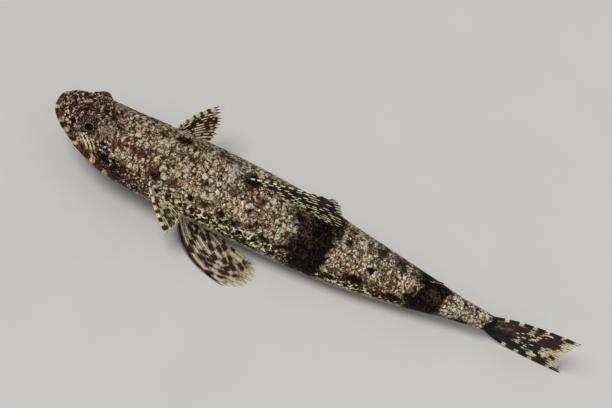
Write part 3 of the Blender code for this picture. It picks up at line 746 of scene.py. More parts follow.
def hide_material():
    """Skin and scales: a fine brown, rust and grey speckle under the stored markings."""
    p = Paint("hide")
    dark, pale, belly, head = p.split("marks_a")
    lip, bar, streak, warm = p.split("marks_b")
    out, tone, nape, lower = p.split("marks_c")
    cheek, temple, glow, line = p.split("marks_d")
    fleck, grain, fine = p.noise(1.6, 3, 0.65), p.noise(1.0, 2.5, 0.6), p.noise(0.55, 2)
    blot, cloud = p.noise(2.8, 3, 0.6, 0.8), p.noise(8.0, 3)
    place = add_node(p.tree, "ShaderNodeSeparateXYZ", {"Vector": p.place}).outputs

    # back: brown ground, pale hearts of the scales, gold and white specks, dark pits, net and rims
    soft = 1.0 - nape * 0.45
    lit = tone + 0.08 + nape * 0.40 + (blot - 0.48) * -2.6
    heart = (out + (fleck - 0.5) * 2.6).step(1.15, 0.55) * lit.step(0.25, 0.75) * grain.step(0.33, 0.47)
    disc = layered(
        cloud.tones(0.40, 0.58, (0.75, 0.635, 0.505), (0.73, 0.69, 0.565)),
        (fleck.step(0.46, 0.57) * soft, (0.94, 0.915, 0.81)),
    )
    sunny = temple * p.noise(1.2, 3, 0.65, 0.6).step(0.50, 0.56) * (1.0 - head)
    white = p.noise(0.9, 2, 0.6).step(0.545, 0.595) * cloud.step(0.64, 0.44).plus(temple) * soft
    net = abs(p.noise(5.0, 3, 0.6, 0.4) - 0.5).step(0.046, 0.014).broken(fleck, 1.3)
    rim = (out.step(0.78, 1.02) * (nape * 0.75 + 0.14)).broken(fleck, 0.6, 0.25, 0.7)
    colour = layered(
        grain.tones(0.45, 0.55, (0.32, 0.215, 0.14), (0.57, 0.50, 0.395)),
        (blot.step(0.53, 0.59) * 0.8, (0.36, 0.21, 0.13)),
        (fleck.step(0.55, 0.60).plus(cloud.step(0.55, 0.68) * 0.5) * 0.9, (0.10, 0.06, 0.04)),
        (heart, disc),
        (sunny * 0.8, blot.tones(0.42, 0.54, (0.78, 0.55, 0.30), (0.95, 0.88, 0.68))),
        (white, blot.tones(0.44, 0.56, (0.89, 0.90, 0.83), (0.95, 0.87, 0.68))),
        (p.noise(1.1, 2, 0.7).step(0.60, 0.65) * 0.7, (0.64, 0.40, 0.19)),
        (p.noise(1.2, 2, 0.6, 0.5).step(0.56, 0.60) * 0.88, (0.14, 0.075, 0.045)),
        (net * 0.82, (0.235, 0.115, 0.065)),
        (rim, (0.29, 0.135, 0.08)),
    )

    # sides, belly, whitish patches and the dark saddles and blotches
    rear = Wire(place["X"]).step(0.0, 0.012) * 0.030
    side = layered(
        fleck.tones(0.45, 0.58, (0.055, 0.04, 0.025), (0.30, 0.23, 0.13)),
        (
            (p.noise(1.7, 2.5, 0.6, 0.8) - rear).step(0.52, 0.57),
            blot.tones(0.42, 0.58, (0.99, 0.98, 0.83), (0.84, 0.77, 0.52)),
        ),
    )
    deep = layered(
        grain.tones(0.56, 0.66, (0.012, 0.009, 0.008), (0.15, 0.09, 0.055)),
        (p.noise(0.8, 2, 0.6).step(0.62, 0.67) * 0.55, (0.42, 0.30, 0.21)),
        (glow.broken(grain, 2.4, 0.40, 0.80) * 0.75, (0.31, 0.225, 0.145)),
    )
    colour = layered(
        colour,
        (lower.broken(blot, 0.8, 0.35, 0.6), side),
        (belly.broken(fleck, 1.2), grain.tones(0.42, 0.62, (0.50, 0.41, 0.37), (0.72, 0.66, 0.60))),
        (
            pale.broken(grain, 1.8, 0.40, 0.80) * 0.85,
            fine.tones(0.42, 0.58, (0.82, 0.84, 0.78), (0.55, 0.49, 0.43)),
        ),
        ((dark + (blot - 0.5) * 1.0).step(0.0, 0.65) * 0.78, (0.16, 0.11, 0.075)),
        (dark.broken(fleck, 2.6, 0.40, 0.76) * 0.97, deep),
    )

    # head: dark face with cream freckles, fewer on the crown, and a sooty mottled cheek
    crown = 0.85 - Wire(place["Z"]).step(0.0285, 0.0325) * 0.45
    sooty = layered(
        fleck.tones(0.52, 0.60, (0.05, 0.037, 0.03), (0.30, 0.21, 0.145)),
        (
            p.noise(1.9, 3, 0.65, 0.7).step(0.565, 0.62),
            blot.tones(0.42, 0.56, (0.72, 0.67, 0.52), (0.46, 0.36, 0.29)),
        ),
    )
    face = layered(
        fleck.tones(0.44, 0.56, (0.055, 0.033, 0.027), (0.27, 0.16, 0.12)),
        (cloud.step(0.48, 0.60) * 0.4, (0.30, 0.19, 0.19)),
        (p.noise(1.3, 3, 0.65, 0.5).step(0.56, 0.61) * 0.9, (0.78, 0.71, 0.58)),
        (blot.step(0.60, 0.66) * 0.6, (0.42, 0.17, 0.10)),
        (p.noise(2.2, 3, 0.6, 0.6).step(0.55, 0.61) * 0.85, (0.035, 0.025, 0.03)),
        (p.freckles(1.7, fine, 0.5, 0.28, 0.20) * crown, (0.86, 0.81, 0.67)),
        (temple.broken(fleck, 2.4) * 0.6, fine.tones(0.44, 0.56, (0.30, 0.22, 0.16), (0.68, 0.59, 0.49))),
        (cheek.broken(fleck, 0.7), sooty),
    )
    mouth = layered(
        grain.tones(0.45, 0.60, (0.15, 0.062, 0.05), (0.38, 0.215, 0.185)),
        (fleck.step(0.56, 0.62) * 0.7, (0.54, 0.42, 0.35)),
    )
    colour = layered(
        colour,
        (head.broken(grain, 0.5), face),
        (line.broken(fleck, 0.5) * 0.85, (0.26, 0.095, 0.05)),
        (streak.broken(grain, 0.9), fine.tones(0.42, 0.58, (0.60, 0.51, 0.34), (0.91, 0.86, 0.66))),
        (warm.broken(grain, 0.5), (0.44, 0.22, 0.09)),
        (lip.broken(grain, 0.9), mouth),
        (
            bar.broken(fleck, 1.3, 0.4, 0.65),
            fleck.tones(0.42, 0.58, (0.56, 0.43, 0.35), (0.76, 0.69, 0.56)),
        ),
    )
    relief = p.relief(grain * 0.6 + fine * 0.4, 0.5, 0.00025)
    return p.finish(colour, grain * 0.2 + 0.42, relief, coat_rough=0.3, specular=0.05)


def eye_material():
    """Eyeball: a black pupil with a gold line, a dark iris with a ring of pale spots, and a painted reflection
    below.
    """
    p = Paint("eyeball")
    pupil, gold, spot, glint = p.split("iris")
    grain, blot = p.noise(0.4, 3), p.noise(1.0, 3, warp=1.0)
    colour = layered(
        blot.tones(0.45, 0.58, (0.05, 0.035, 0.045), (0.19, 0.12, 0.11)),
        (grain.step(0.56, 0.64) * 0.7, (0.50, 0.42, 0.33)),
        # grey-blue streaks on the lower part of the eye: a reflection painted into the colour
        (glint.broken(grain, 1.4, 0.6, 0.95) * 0.8, (0.36, 0.38, 0.40)),
        (spot.broken(grain, 0.6), (0.66, 0.61, 0.48)),
        (gold.step(0.4, 0.8) * 0.8, (0.46, 0.36, 0.20)),
        (pupil.step(0.4, 0.6), (0.008, 0.009, 0.020)),
        (p.freckles(0.8, grain, 0.4, 0.3, 0.2) * (1.0 - pupil), (0.66, 0.60, 0.46)),
    )
    return p.finish(colour, 0.35, p.relief(grain, 0.2, 0.0001), pupil * 0.08 + 0.04, 0.03, specular=0.08)


def fin_material():
    """Fin rays and fin skin: the stored cream, maroon, black and purple over a grey-brown ground."""
    p = Paint("fin")
    cream, maroon, black, purple = p.split("fin_a")
    ray, tint, light, _ = p.split("fin_b")
    grain, fine = p.noise(0.9, 3), p.noise(0.45, 2)
    colour = layered(
        grain.tones(0.40, 0.60, (0.24, 0.18, 0.15), (0.42, 0.36, 0.29)),
        (light, grain.tones(0.40, 0.60, (0.52, 0.47, 0.42), (0.72, 0.68, 0.60))),
        (ray * 0.5, (0.58, 0.50, 0.36)),
        (purple.broken(grain, 0.5, 0.2, 0.8), (0.46, 0.34, 0.44)),
        (
            cream.broken(grain, 0.7, 0.25, 0.6),
            fine.tones(0.40, 0.60, (0.72, 0.67, 0.48), (0.94, 0.91, 0.74)),
        ),
        (maroon.broken(grain, 0.7), fine.tones(0.45, 0.62, (0.12, 0.042, 0.035), (0.28, 0.13, 0.09))),
        (black.broken(grain, 0.7), fine.tones(0.52, 0.66, (0.055, 0.04, 0.035), (0.21, 0.12, 0.08))),
    )
    marks = maroon.or_else(black).or_else(cream * 0.6)
    alpha = (ray + marks * 0.3).plus(tint)
    return p.finish(colour, 0.45, p.relief(fine, 0.3, 0.0002), 0.1, 0.3, alpha)


def floor_material():
    p = Paint("floor")
    return p.finish(p.noise(60.0, 4).mix((0.80, 0.79, 0.77), (0.84, 0.83, 0.81)), 0.8)


HIDE, EYE, FIN = hide_material(), eye_material(), fin_material()
skin.data.materials.append(HIDE)


# ---- scales


# Distance from the snout with the distance between scales, and with the rows in a quarter of the way round
SCALE_PITCH = ((27.0, 3.0), (50.0, 2.95), (110.0, 2.6), (150.0, 2.2), (195.0, 1.9), (204.0, 1.8))
ROWS_IN_QUARTER = (
    (27.0, 8.0), (50.0, 7.5), (131.0, 7.0), (152.0, 6.0), (173.0, 5.0), (190.0, 4.0), (204.0, 3.5),
)
FIRST_SCALE, LAST_SCALE = 26.5, 202.0
SCALE_SEED = 7


def sample_rings(grid, u, v):
    """Values of a grid of the skin at places u, v of the unwrap; u in ring places, v from 0 to 1 round."""
    row = np.interp(u, ring_place[:, 0], np.arange(len(ring_place)))
    column = (v % 1.0) * grid.shape[1]
    r, c = np.minimum(row.astype(int), len(grid) - 2), column.astype(int) % grid.shape[1]
    fr, fc = row - r, column - np.floor(column)
    after = (c + 1) % grid.shape[1]
    if grid.ndim > 2:
        fr, fc = fr[..., None], fc[..., None]
    upper, lower = (grid[q, c] * (1 - fc) + grid[q, after] * fc for q in (r, r + 1))
    return upper * (1 - fr) + lower * fr


def scale_plate():
    """One scale lying flat: x from 0 at its root to 1 at its tip, y from -1 to 1, and z up in millimetres."""
    around = 12
    outline = []
    for turn in np.arange(around) * 2 * math.pi / around:
        x = 0.5 - 0.5 * math.cos(turn)
        outline.append((x, (1.0 if x > 0.5 else 0.82) * math.sin(turn)))

    def rise(x):
        return -0.14 + 0.34 * x

    def drawn_in(share):
        return [(0.5 + (x - 0.5) * share, y * share) for x, y in outline]

    points = [(0.5, 0.0, rise(0.5) + 0.10)]
    points += [(x, y, rise(x) + 0.07) for x, y in drawn_in(0.62)]
    points += [(x, y, rise(x) - 0.10 * y * y) for x, y in outline]
    points += [(*low, rise(x) - 0.10 * y * y - 0.11) for low, (x, y) in zip(drawn_in(0.97), outline)]
    points += [(0.5, 0.0, rise(0.5) - 0.14)]
    faces = []
    a, b, c, last = 1, 1 + around, 1 + 2 * around, 1 + 3 * around
    for i in range(around):
        j = (i + 1) % around
        faces += [(0, a + j, a + i), (a + i, a + j, b + j), (a + i, b + j, b + i)]
        faces += [(b + i, b + j, c + j), (b + i, c + j, c + i), (last, c + i, c + j)]
    thing = mesh_thing("scale_plate", points, faces)
    store(thing.data, "FLOAT_VECTOR", local=[(x, y, 0) for x, y, _ in points])
    return thing


def scale_places():
    """For each scale its root on the unwrap, its length and half width there, and a number drawn by lot."""
    generator = np.random.default_rng(SCALE_SEED)
    found, here = [], FIRST_SCALE
    while here < LAST_SCALE:
        pitch = np.interp(here, *zip(*SCALE_PITCH))
        step = 0.25 / np.interp(here, *zip(*ROWS_IN_QUARTER))
        levels = [(0.25 + j * step, j % 2) for j in range(-12, 12)]
        levels = [(v, odd) for v, odd in levels if 0.62 * step < v < 0.5 - 0.62 * step]
        lanes = [(*level, sign) for level in levels for sign in (1, -1)] + [(0.0, 0, 1), (0.5, 1, 1)]
        for v, odd, sign in lanes:
            u = here + 0.5 * pitch * odd + generator.normal(0, 0.10)
            length = 1.62 * pitch * generator.uniform(0.93, 1.07)
            start = FIRST_SCALE if v < 0.16 else (33.0 if v < 0.30 else 48.5)
            if u < start or u + length > TAIL_END - 0.5:
                continue
            if u < GILL_RING + 0.1 and v > 0.10:
                if GILL_RING - u < 1.2:
                    continue
                length = min(length, GILL_RING - 0.05 - u)
            half = 0.70 * step * generator.uniform(0.94, 1.06)
            place = (v + generator.normal(0, 0.03) * step) * sign
            found.append((u, place % 1.0, length, half, generator.uniform()))
        here += pitch
    return np.array(found).T


def keep_above_floor(mesh):
    place = np.zeros(len(mesh.vertices) * 3, np.float32)
    mesh.vertices.foreach_get("co", place)
    place[2::3] = np.maximum(place[2::3], FLOOR_GAP * MM)
    mesh.vertices.foreach_set("co", place)
    mesh.update()


def scale_tree():
    """Sets a plate at each root on the unwrap, and wraps them all on the skin."""
    inputs = {"Geometry": "Geometry", "Plate": "Object", "Skin": "Object", "Finish": "Material"}
    tree, given, result = new_tree("GeometryNodeTree", "wrap_scales", inputs, "Geometry")
    plate, surface = (
        add_node(tree, "GeometryNodeObjectInfo", {"Object": given[name]}).outputs["Geometry"]
        for name in ("Plate", "Skin")
    )
    spread = output(tree, "GeometryNodeInstanceOnPoints", {
        "Points": given["Geometry"], "Instance": plate, "Scale": stored(tree, "size"),
    })
    flat = output(tree, "GeometryNodeRealizeInstances", {"Geometry": spread})
    here = add_node(tree, "ShaderNodeSeparateXYZ", {0: output(tree, "GeometryNodeInputPosition")}).outputs
    around = output(tree, "ShaderNodeMath", {0: here[1]}, operation="FRACT")
    target = output(tree, "ShaderNodeCombineXYZ", {0: here[0], 1: around})

    def sampled(value):
        inputs = {"Mesh": surface, "Value": value, "UV Map": stored(tree, "OFBake"), "Sample UV": target}
        return output(tree, "GeometryNodeSampleUVSurface", inputs, data_type="FLOAT_VECTOR")

    rise = output(tree, "ShaderNodeMath", {0: here[2], 1: MM}, operation="MULTIPLY")
    inputs = {0: sampled(stored(tree, "outward")), "Scale": rise}
    away = output(tree, "ShaderNodeVectorMath", inputs, operation="SCALE")
    base = sampled(output(tree, "GeometryNodeInputPosition"))
    place = output(tree, "ShaderNodeVectorMath", {0: base, 1: away}, operation="ADD")
    wrapped = output(tree, "GeometryNodeSetPosition", {"Geometry": flat, "Position": place})
    turned = output(tree, "GeometryNodeFlipFaces", {"Mesh": wrapped})
    return finish_tree(tree, turned, given["Finish"], result)


def make_scales():
    u, v, length, half, lot = scale_places()
    thing = mesh_thing("scales", stacked(u / UNWRAP_LENGTH, v, 0.0))
    store(
        thing.data, "FLOAT_VECTOR", size=stacked(length / UNWRAP_LENGTH, half, 1.0),
        root=stacked(u, v, lot), own_size=stacked(length, half, 0.0),
    )
    plate = scale_plate()
    run_tree(thing, scale_tree(), {"Plate": plate, "Skin": skin, "Finish": HIDE})
    bpy.data.objects.remove(plate, do_unlink=True)
    mesh = thing.data
    keep_above_floor(mesh)
    columns = []
    for name in ("root", "local", "own_size"):
        values = np.zeros(len(mesh.vertices) * 3, np.float32)
        mesh.attributes[name].data.foreach_get("vector", values)
        columns.append(values.reshape(-1, 3).astype(float).T)
    (u, v, lot), (x, y, _), (length, half, _) = columns
    values = []
    for uu, vv in ((u + x * length, v + y * half), (u + 0.6 * length, v)):
        turn = sample_rings(np.abs(ring_angle), uu, vv) * np.where((vv % 1.0) > 0.5, -1, 1)
        here, below, point = (sample_rings(grid, uu, vv) for grid in (ring_s, ring_below, ring_point))
        values.append((*markings(here, turn, below, point), nape_zone(here, turn)))
    # a scale has mostly the colour of the place under each of its points, and partly that of its middle
    marks_a, marks_b, lower, marks_d, nape = (0.68 * a + 0.32 * b for a, b in zip(*values))
    out = np.sqrt(((x - 0.66) / 0.34) ** 2 + y**2)
    tone = 0.45 * lot + 0.55 * smooth(0.3, 0.7, lattice_noise(sample_rings(ring_point, u, v), 5.5, 21))
    marks_c = stacked(out, tone, nape, lower)
    store(mesh, "FLOAT_COLOR", marks_a=marks_a, marks_b=marks_b, marks_c=marks_c, marks_d=marks_d)
    patch = stacked(u / UNWRAP_LENGTH + 0.003 * (x - 0.5), v + 0.0015 * y)
    store_map(mesh, np.clip(patch, 0.0, 1.0)[corner_points(mesh)])
    drop_layers(mesh, "root", "local", "own_size", "size")
    return thing


scales = make_scales()


# ---- eyes


def make_eye(side):
    centre, _ = eye_place(side)
    gaze = unit((PUPIL_WAY[0], side * PUPIL_WAY[1], PUPIL_WAY[2]))
    rings, columns = 56, 72
    turn = np.concatenate([np.linspace(0.02, 1.2, 44), np.linspace(1.26, math.pi - 0.05, rings - 44)])
    turn, round_ = np.meshgrid(turn, np.arange(columns) * 2 * math.pi / columns, indexing="ij")
    level = unit(np.cross(gaze, (0, 0, 1)))
    rise = np.cross(level, gaze)
    across = level * np.cos(round_)[..., None] + rise * np.sin(round_)[..., None]
    way = gaze * np.cos(turn)[..., None] + across * np.sin(turn)[..., None]
    radius = EYE_RADIUS - 0.05 + 0.16 * (1 - smooth(0.30, 0.54, turn)) - 0.10 * bump(turn - 0.48, 0.07)
    point = (centre + way * radius[..., None]).reshape(-1, 3)
    point = np.concatenate([point, [centre + gaze * (EYE_RADIUS + 0.11)], [centre - gaze * EYE_RADIUS]])
    faces = shell_faces(rings, columns)
    if side < 0:
        faces = [face[::-1] for face in faces]
    thing = mesh_thing("eyeball_L" if side > 0 else "eyeball_R", to_frame(point), faces)
    degrees = np.degrees(turn)
    pupil = 1 - smooth(23.6, 24.8, degrees)
    gold = bump(degrees - 26.0, 0.9)
    spot = bump(degrees - 30.0, 2.0) * smooth(0.35, 0.8, 0.5 + 0.5 * np.cos(round_ * 17))
    # streaks on the lower part of the eyeball where a reflection is painted into the colour
    glint = smooth(36, 42, degrees) * smooth(0.15, 0.7, -np.sin(round_))
    glint = glint * smooth(0.3, 0.7, 0.5 + 0.5 * np.cos(round_ * 11 + 1.0))
    marks = stacked(pupil, gold, spot, glint).reshape(-1, 4)
    store(thing.data, "FLOAT_COLOR", iris=np.concatenate([marks, [[1, 0, 0, 0], [0, 0, 0, 0]]]))
    thing.data.materials.append(EYE)
    return thing


eyes = {"eye_L": make_eye(1), "eye_R": make_eye(-1)}


# ---- fins: three guide rays each, with root, bend and tip, as distance from the snout, to the left and up


PELVIC_LEFT = (
    ((62.5, 7.5, 7.5), (70.0, 28.0, -2.0), (93.6, 31.0, 0.3)),
    ((65.5, 6.0, 6.5), (80.0, 21.0, -1.5), (103.4, 24.8, 0.9)),
    ((68.5, 4.5, 5.5), (82.0, 10.0, 0.0), (102.6, 14.2, 1.6)),
)
BEND_AT_PELVIC = 2 * 1.6
PELVIC_RIGHT = tuple(tuple((s, BEND_AT_PELVIC - lat, z) for s, lat, z in ray) for ray in PELVIC_LEFT)
PECTORAL_LEFT = (
    ((48.6, 16.0, 24.4), (55.0, 27.0, 21.5), (65.0, 31.6, 15.3)),
    ((49.8, 16.4, 21.2), (58.2, 23.4, 21.0), (67.6, 27.0, 16.6)),
    ((51.0, 16.4, 18.2), (58.8, 19.8, 22.6), (66.9, 21.6, 18.6)),
)
PECTORAL_RIGHT = (
    ((48.4, -12.0, 25.2), (52.0, -25.6, 27.0), (61.4, -36.2, 25.4)),
    ((49.4, -12.2, 21.6), (56.4, -24.4, 23.4), (64.8, -30.4, 22.2)),
    ((50.6, -12.4, 17.8), (58.0, -19.4, 18.8), (65.0, -22.2, 18.8)),
)
DORSAL = (
    ((82.6, 0.6, 32.2), (98.0, 0.2, 38.0), (122.4, -0.6, 43.4)),
    ((98.0, 0.2, 31.2), (110.5, 0.4, 34.8), (126.6, 0.6, 37.4)),
    ((113.6, -0.4, 28.6), (121.0, 0.2, 29.8), (129.6, 1.0, 29.2)),
)
ANAL = (
    ((155.0, -1.3, 3.0), (160.0, -1.3, 0.2), (167.5, -1.6, 0.3)),
    ((162.0, -1.6, 3.6), (166.5, -1.7, 1.1), (172.5, -1.9, 0.6)),
    ((169.0, -2.0, 4.4), (172.5, -2.1, 2.3), (177.5, -2.3, 1.8)),
)
ADIPOSE = (
    ((168.2, -2.0, 19.0), (171.2, -2.1, 23.0), (176.8, -2.4, 22.8)),
    ((169.6, -2.05, 18.8), (172.4, -2.1, 21.8), (176.9, -2.4, 22.0)),
    ((171.2, -2.1, 18.6), (173.2, -2.2, 20.4), (176.8, -2.4, 21.0)),
)
CAUDAL = (
    ((201.5, -3.6, 15.2), (218.0, -3.6, 23.2), (240.0, -4.0, 23.2)),
    ((202.5, -3.6, 10.6), (219.0, -3.4, 10.6), (239.6, -3.6, 11.8)),
    ((200.8, -3.6, 5.8), (210.0, -3.6, -0.8), (238.8, -4.0, 0.4)),
)


def ray_reach(name, v):
    """How much of its guides a ray follows, less in the middle of the tail fin for the fork."""
    return 1 - 0.12 * (1 - np.abs(2 * v - 1)) ** 0.8 if name == "caudal_fin" else 1.0


def knots(us):
    """Every other joint of a ray a little thicker."""
    return 1 + 0.10 * (np.arange(len(us)) % 2)


def fin_point(guides, u, v):
    """Points of a fin, u from root to tip along a ray and v across from the first ray to the last."""
    u, v = np.broadcast_arrays(np.asarray(u, float), np.asarray(v, float))
    weights = ((2 * v - 1) * (v - 1), 4 * v * (1 - v), v * (2 * v - 1))
    point = 0.0
    for weight, (root, bend, tip) in zip(weights, guides):
        a, b, c = ((1 - u) ** 2)[..., None], (2 * u * (1 - u))[..., None], (u * u)[..., None]
        point = point + weight[..., None] * (a * np.array(root) + b * np.array(bend) + c * np.array(tip))
    return point


def fin_normal(guides, u, v):
    along = fin_point(guides, u + 0.01, v) - fin_point(guides, u - 0.01, v)
    across = fin_point(guides, u, np.minimum(v + 0.01, 1.0)) - fin_point(guides, u, np.maximum(v - 0.01, 0.0))
    return unit(np.cross(along, across))


def teeth(x, at, half, soft=0.35):
    """Marks of given half lengths at given places."""
    return strongest(1 - smooth(half * (1 - soft), half * (1 + soft), np.abs(x - place)) for place in at)


def blotches(u, v, rays, rows, half_u, half_v, keep, seed, jitter=0.2):
    """Oval marks centred on the rays, in rows that are staggered from ray to ray, some left out."""
    generator = np.random.default_rng(seed)
    shift = generator.uniform(-jitter, jitter, (rays, rows + 2))
    shown_here = generator.uniform(size=(rays, rows + 2)) < keep
    size = generator.uniform(0.75, 1.25, (rays, rows + 2))
    total = np.zeros(np.shape(u))
    for near, k in product((0, 1), range(rows + 2)):
        ray = np.clip(np.floor(v * (rays - 1)).astype(int) + near, 0, rays - 1)
        across = np.abs(v * (rays - 1) - ray) / half_v
        centre = (k + 0.5 * (ray % 2) + shift[ray, k]) / rows
        reach = ((u - centre) / (half_u * size[ray, k])) ** 2 + across**2
        total = np.maximum(total, np.where(shown_here[ray, k], 1 - smooth(0.6, 1.3, reach), 0.0))
    return total


# The marks of each fin are the strengths of cream, maroon, black and purple


def pectoral_marks(u, v, s):
    place = stacked(u * 20, v * 11, 0.0)
    mottle = lattice_noise(place, 1.7, 31) + 0.4 * (lattice_noise(place, 0.8, 32) - 0.5)
    strand = 1 - smooth(0.13, 0.27, np.abs(v * 11 - np.round(v * 11)) - 0.15 * (mottle - 0.5))
    front = 1 - smooth(0.10, 0.20, v + 0.10 * (mottle - 0.5))
    lumps = teeth(u + 0.02 * np.sin(u * 40), 0.05 + 0.15 * np.arange(7), 0.048)
    light = 0.20 * smooth(0.4, 0.7, v) + 0.2 * smooth(0.8, 0.9, u) + 0.15 * bump(u - 0.12, 0.1)
    ovals = blotches(u + 0.02 * np.sin(v * 9), v, 7, 6, 0.042, 0.46, 0.8, 11, 0.15)
    patch = smooth(0.44, 0.54, mottle + light) * (1 - ovals * (1 - smooth(0.90, 0.96, u)))
    cream = np.maximum(front * lumps, (1 - front) * np.maximum(strand, smooth(0.86, 0.93, u)) * patch)
    return cream, 0.85 * (1 - cream), 0.25 * (1 - cream), 0.0


def pelvic_marks(u, v, s):
    ovals = blotches(u + 0.03 * np.sin(v * 9), v, 9, 7, 0.046, 0.46, 0.80, 5) * (1 - smooth(0.86, 0.93, u))
    lead, first = bump(v - 0.045, 0.035), bump(v, 0.018)
    cream = 1.1 * smooth(0.07, 0.13, v) * (1 - 0.9 * ovals)
    return cream, np.maximum(ovals, 0.9 * lead) * (1 - first), 0.2 * ovals + 0.4 * lead, first


def dorsal_marks(u, v, s):
    along = u * (41 - 25 * v) / 41
    dashes = blotches(along, v, 12, 13, 0.026, 0.21, 0.60, 8, 0.25)
    front = bump(v, 0.05)
    cream = np.maximum(dashes * (1 - front), teeth(u, np.arange(0.05, 1.0, 0.085), 0.022) * front)
    return cream, 0.3 * (1 - cream), (0.95 - 0.15 * smooth(0.5, 1.0, u)) * (1 - cream), 0.0


def anal_marks(u, v, s):
    return 0.5, 0.7 * blotches(u, v, 8, 4, 0.08, 0.6, 0.8, 9), 0.0, 0.2


def adipose_marks(u, v, s):
    cream = bump(v - 0.4, 0.22) * smooth(0.2, 0.4, u)
    return 0.9 * cream, 0.2, 0.9 * (1 - cream), 0.0


def caudal_marks(u, v, s):
    edge_up, edge_low = 1 - smooth(0.06, 0.10, v), smooth(0.90, 0.94, v)
    cream_up = teeth(s, (207.5, 213.5, 219.0, 224.5, 231.5, 237.0), 0.9)
    cream_low = teeth(s, (211.5, 217.5, 224.0, 232.5), 0.9)
    inner = (1 - edge_up) * (1 - edge_low)
    place = stacked(u * 30, v * 22 + 0.5 * np.sin(u * 31), 0.0)
    mottle = lattice_noise(place, 3.2, 21) + 0.55 * (lattice_noise(place * (1, 1.6, 1), 1.1, 22) - 0.5)
    light = 0.08 * smooth(0.66, 0.95, u) + 0.09 * bump(u - 0.34, 0.09) - 0.10 * bump(u - 0.54, 0.10)
    patches = 0.95 * smooth(0.545, 0.625, mottle + light)
    base = 1 - smooth(209, 212.5, s + 5 * (lattice_noise(place, 2.0, 23) - 0.5) - 3 * bump(v - 0.55, 0.3))
    streaks = smooth(0.50, 0.60, lattice_noise(place * (0.35, 1.5, 1), 1.1, 25)) * (1 - smooth(0.45, 0.60, v))
    patches = np.maximum(patches * (1 - base), 0.3 * base * streaks)
    low_half = smooth(0.42, 0.60, v + 0.3 * (lattice_noise(place, 3.0, 24) - 0.5))
    cream = np.maximum(np.maximum(edge_up * cream_up, edge_low * cream_low), patches * inner)
    black = np.maximum(edge_up * (1 - cream_up), edge_low * (1 - cream_low))
    black = np.maximum(black, inner * (1 - patches) * (0.35 + 0.65 * low_half))
    return cream, 0.85 * inner * (1 - patches) * (1 - 0.7 * low_half), black, 0.0


# Guides, rays, branches of a ray, ray radius, marks, and of the skin between the rays: how solid it is, how
# deep its edge dips, how pale its ground is, how strong its cream is, and how maroon its ground is
FINS = {
    "pelvic_fin_L": (PELVIC_LEFT, 9, 4, 0.36, pelvic_marks, 0.6, 0.05, 0.3, 0.36, 0.26),
    "pelvic_fin_R": (PELVIC_RIGHT, 9, 4, 0.36, pelvic_marks, 0.6, 0.05, 0.3, 0.36, 0.26),
    "pectoral_fin_L": (PECTORAL_LEFT, 12, 1, 0.25, pectoral_marks, 0.8, 0.06, 0.0, 0.9, 0.0),
    "pectoral_fin_R": (PECTORAL_RIGHT, 12, 1, 0.32, pectoral_marks, 0.75, 0.14, 0.0, 0.9, 0.0),
    "dorsal_fin": (DORSAL, 12, 2, 0.34, dorsal_marks, 0.95, 0.05, 0.0, 0.85, 0.0),
    "anal_fin": (ANAL, 8, 1, 0.25, anal_marks, 0.6, 0.05, 0.8, 0.36, 0.26),
    "adipose_fin": (ADIPOSE, 3, 1, 0.2, adipose_marks, 1.0, 0.02, 0.0, 0.36, 0.26),
    "caudal_fin": (CAUDAL, 17, 2, 0.36, caudal_marks, 0.85, 0.05, 0.15, 0.5, 0.0),
}
RAY_POINTS, STEM_POINTS, BRANCH_POINTS, TWIG_POINTS = 28, 18, 34, 18
SKIN_ROWS, SKIN_COLUMNS_PER_GAP, HALF_SKIN = 30, 5, 0.10


def fin_tree():
    """Makes tubes of the lines that are rays, and joins them to the skin between them."""
    inputs = {"Geometry": "Geometry", "Sides": "Int", "Finish": "Material"}
    tree, given, result = new_tree("GeometryNodeTree", "round_rays", inputs, "Geometry")
    is_ray, thick = stored(tree, "is_ray", "FLOAT"), stored(tree, "radius", "FLOAT")
    inputs = {"Geometry": given["Geometry"], "Selection": is_ray}
    parts = add_node(tree, "GeometryNodeSeparateGeometry", inputs).outputs
    line = output(tree, "GeometryNodeMeshToCurve", {"Mesh": parts[0]})
    sized = output(tree, "GeometryNodeSetCurveRadius", {"Curve": line, "Radius": thick})
    profile = output(tree, "GeometryNodeCurvePrimitiveCircle", {"Resolution": given["Sides"], "Radius": 1.0})
    inputs = {"Curve": sized, "Profile Curve": profile, "Scale": thick, "Fill Caps": True}
    tubes = output(tree, "GeometryNodeCurveToMesh", inputs)
    both = add_node(tree, "GeometryNodeJoinGeometry")
    for piece in (parts[1], tubes):
        give(both.inputs[0], piece)
    return finish_tree(tree, both.outputs[0], given["Finish"], result)


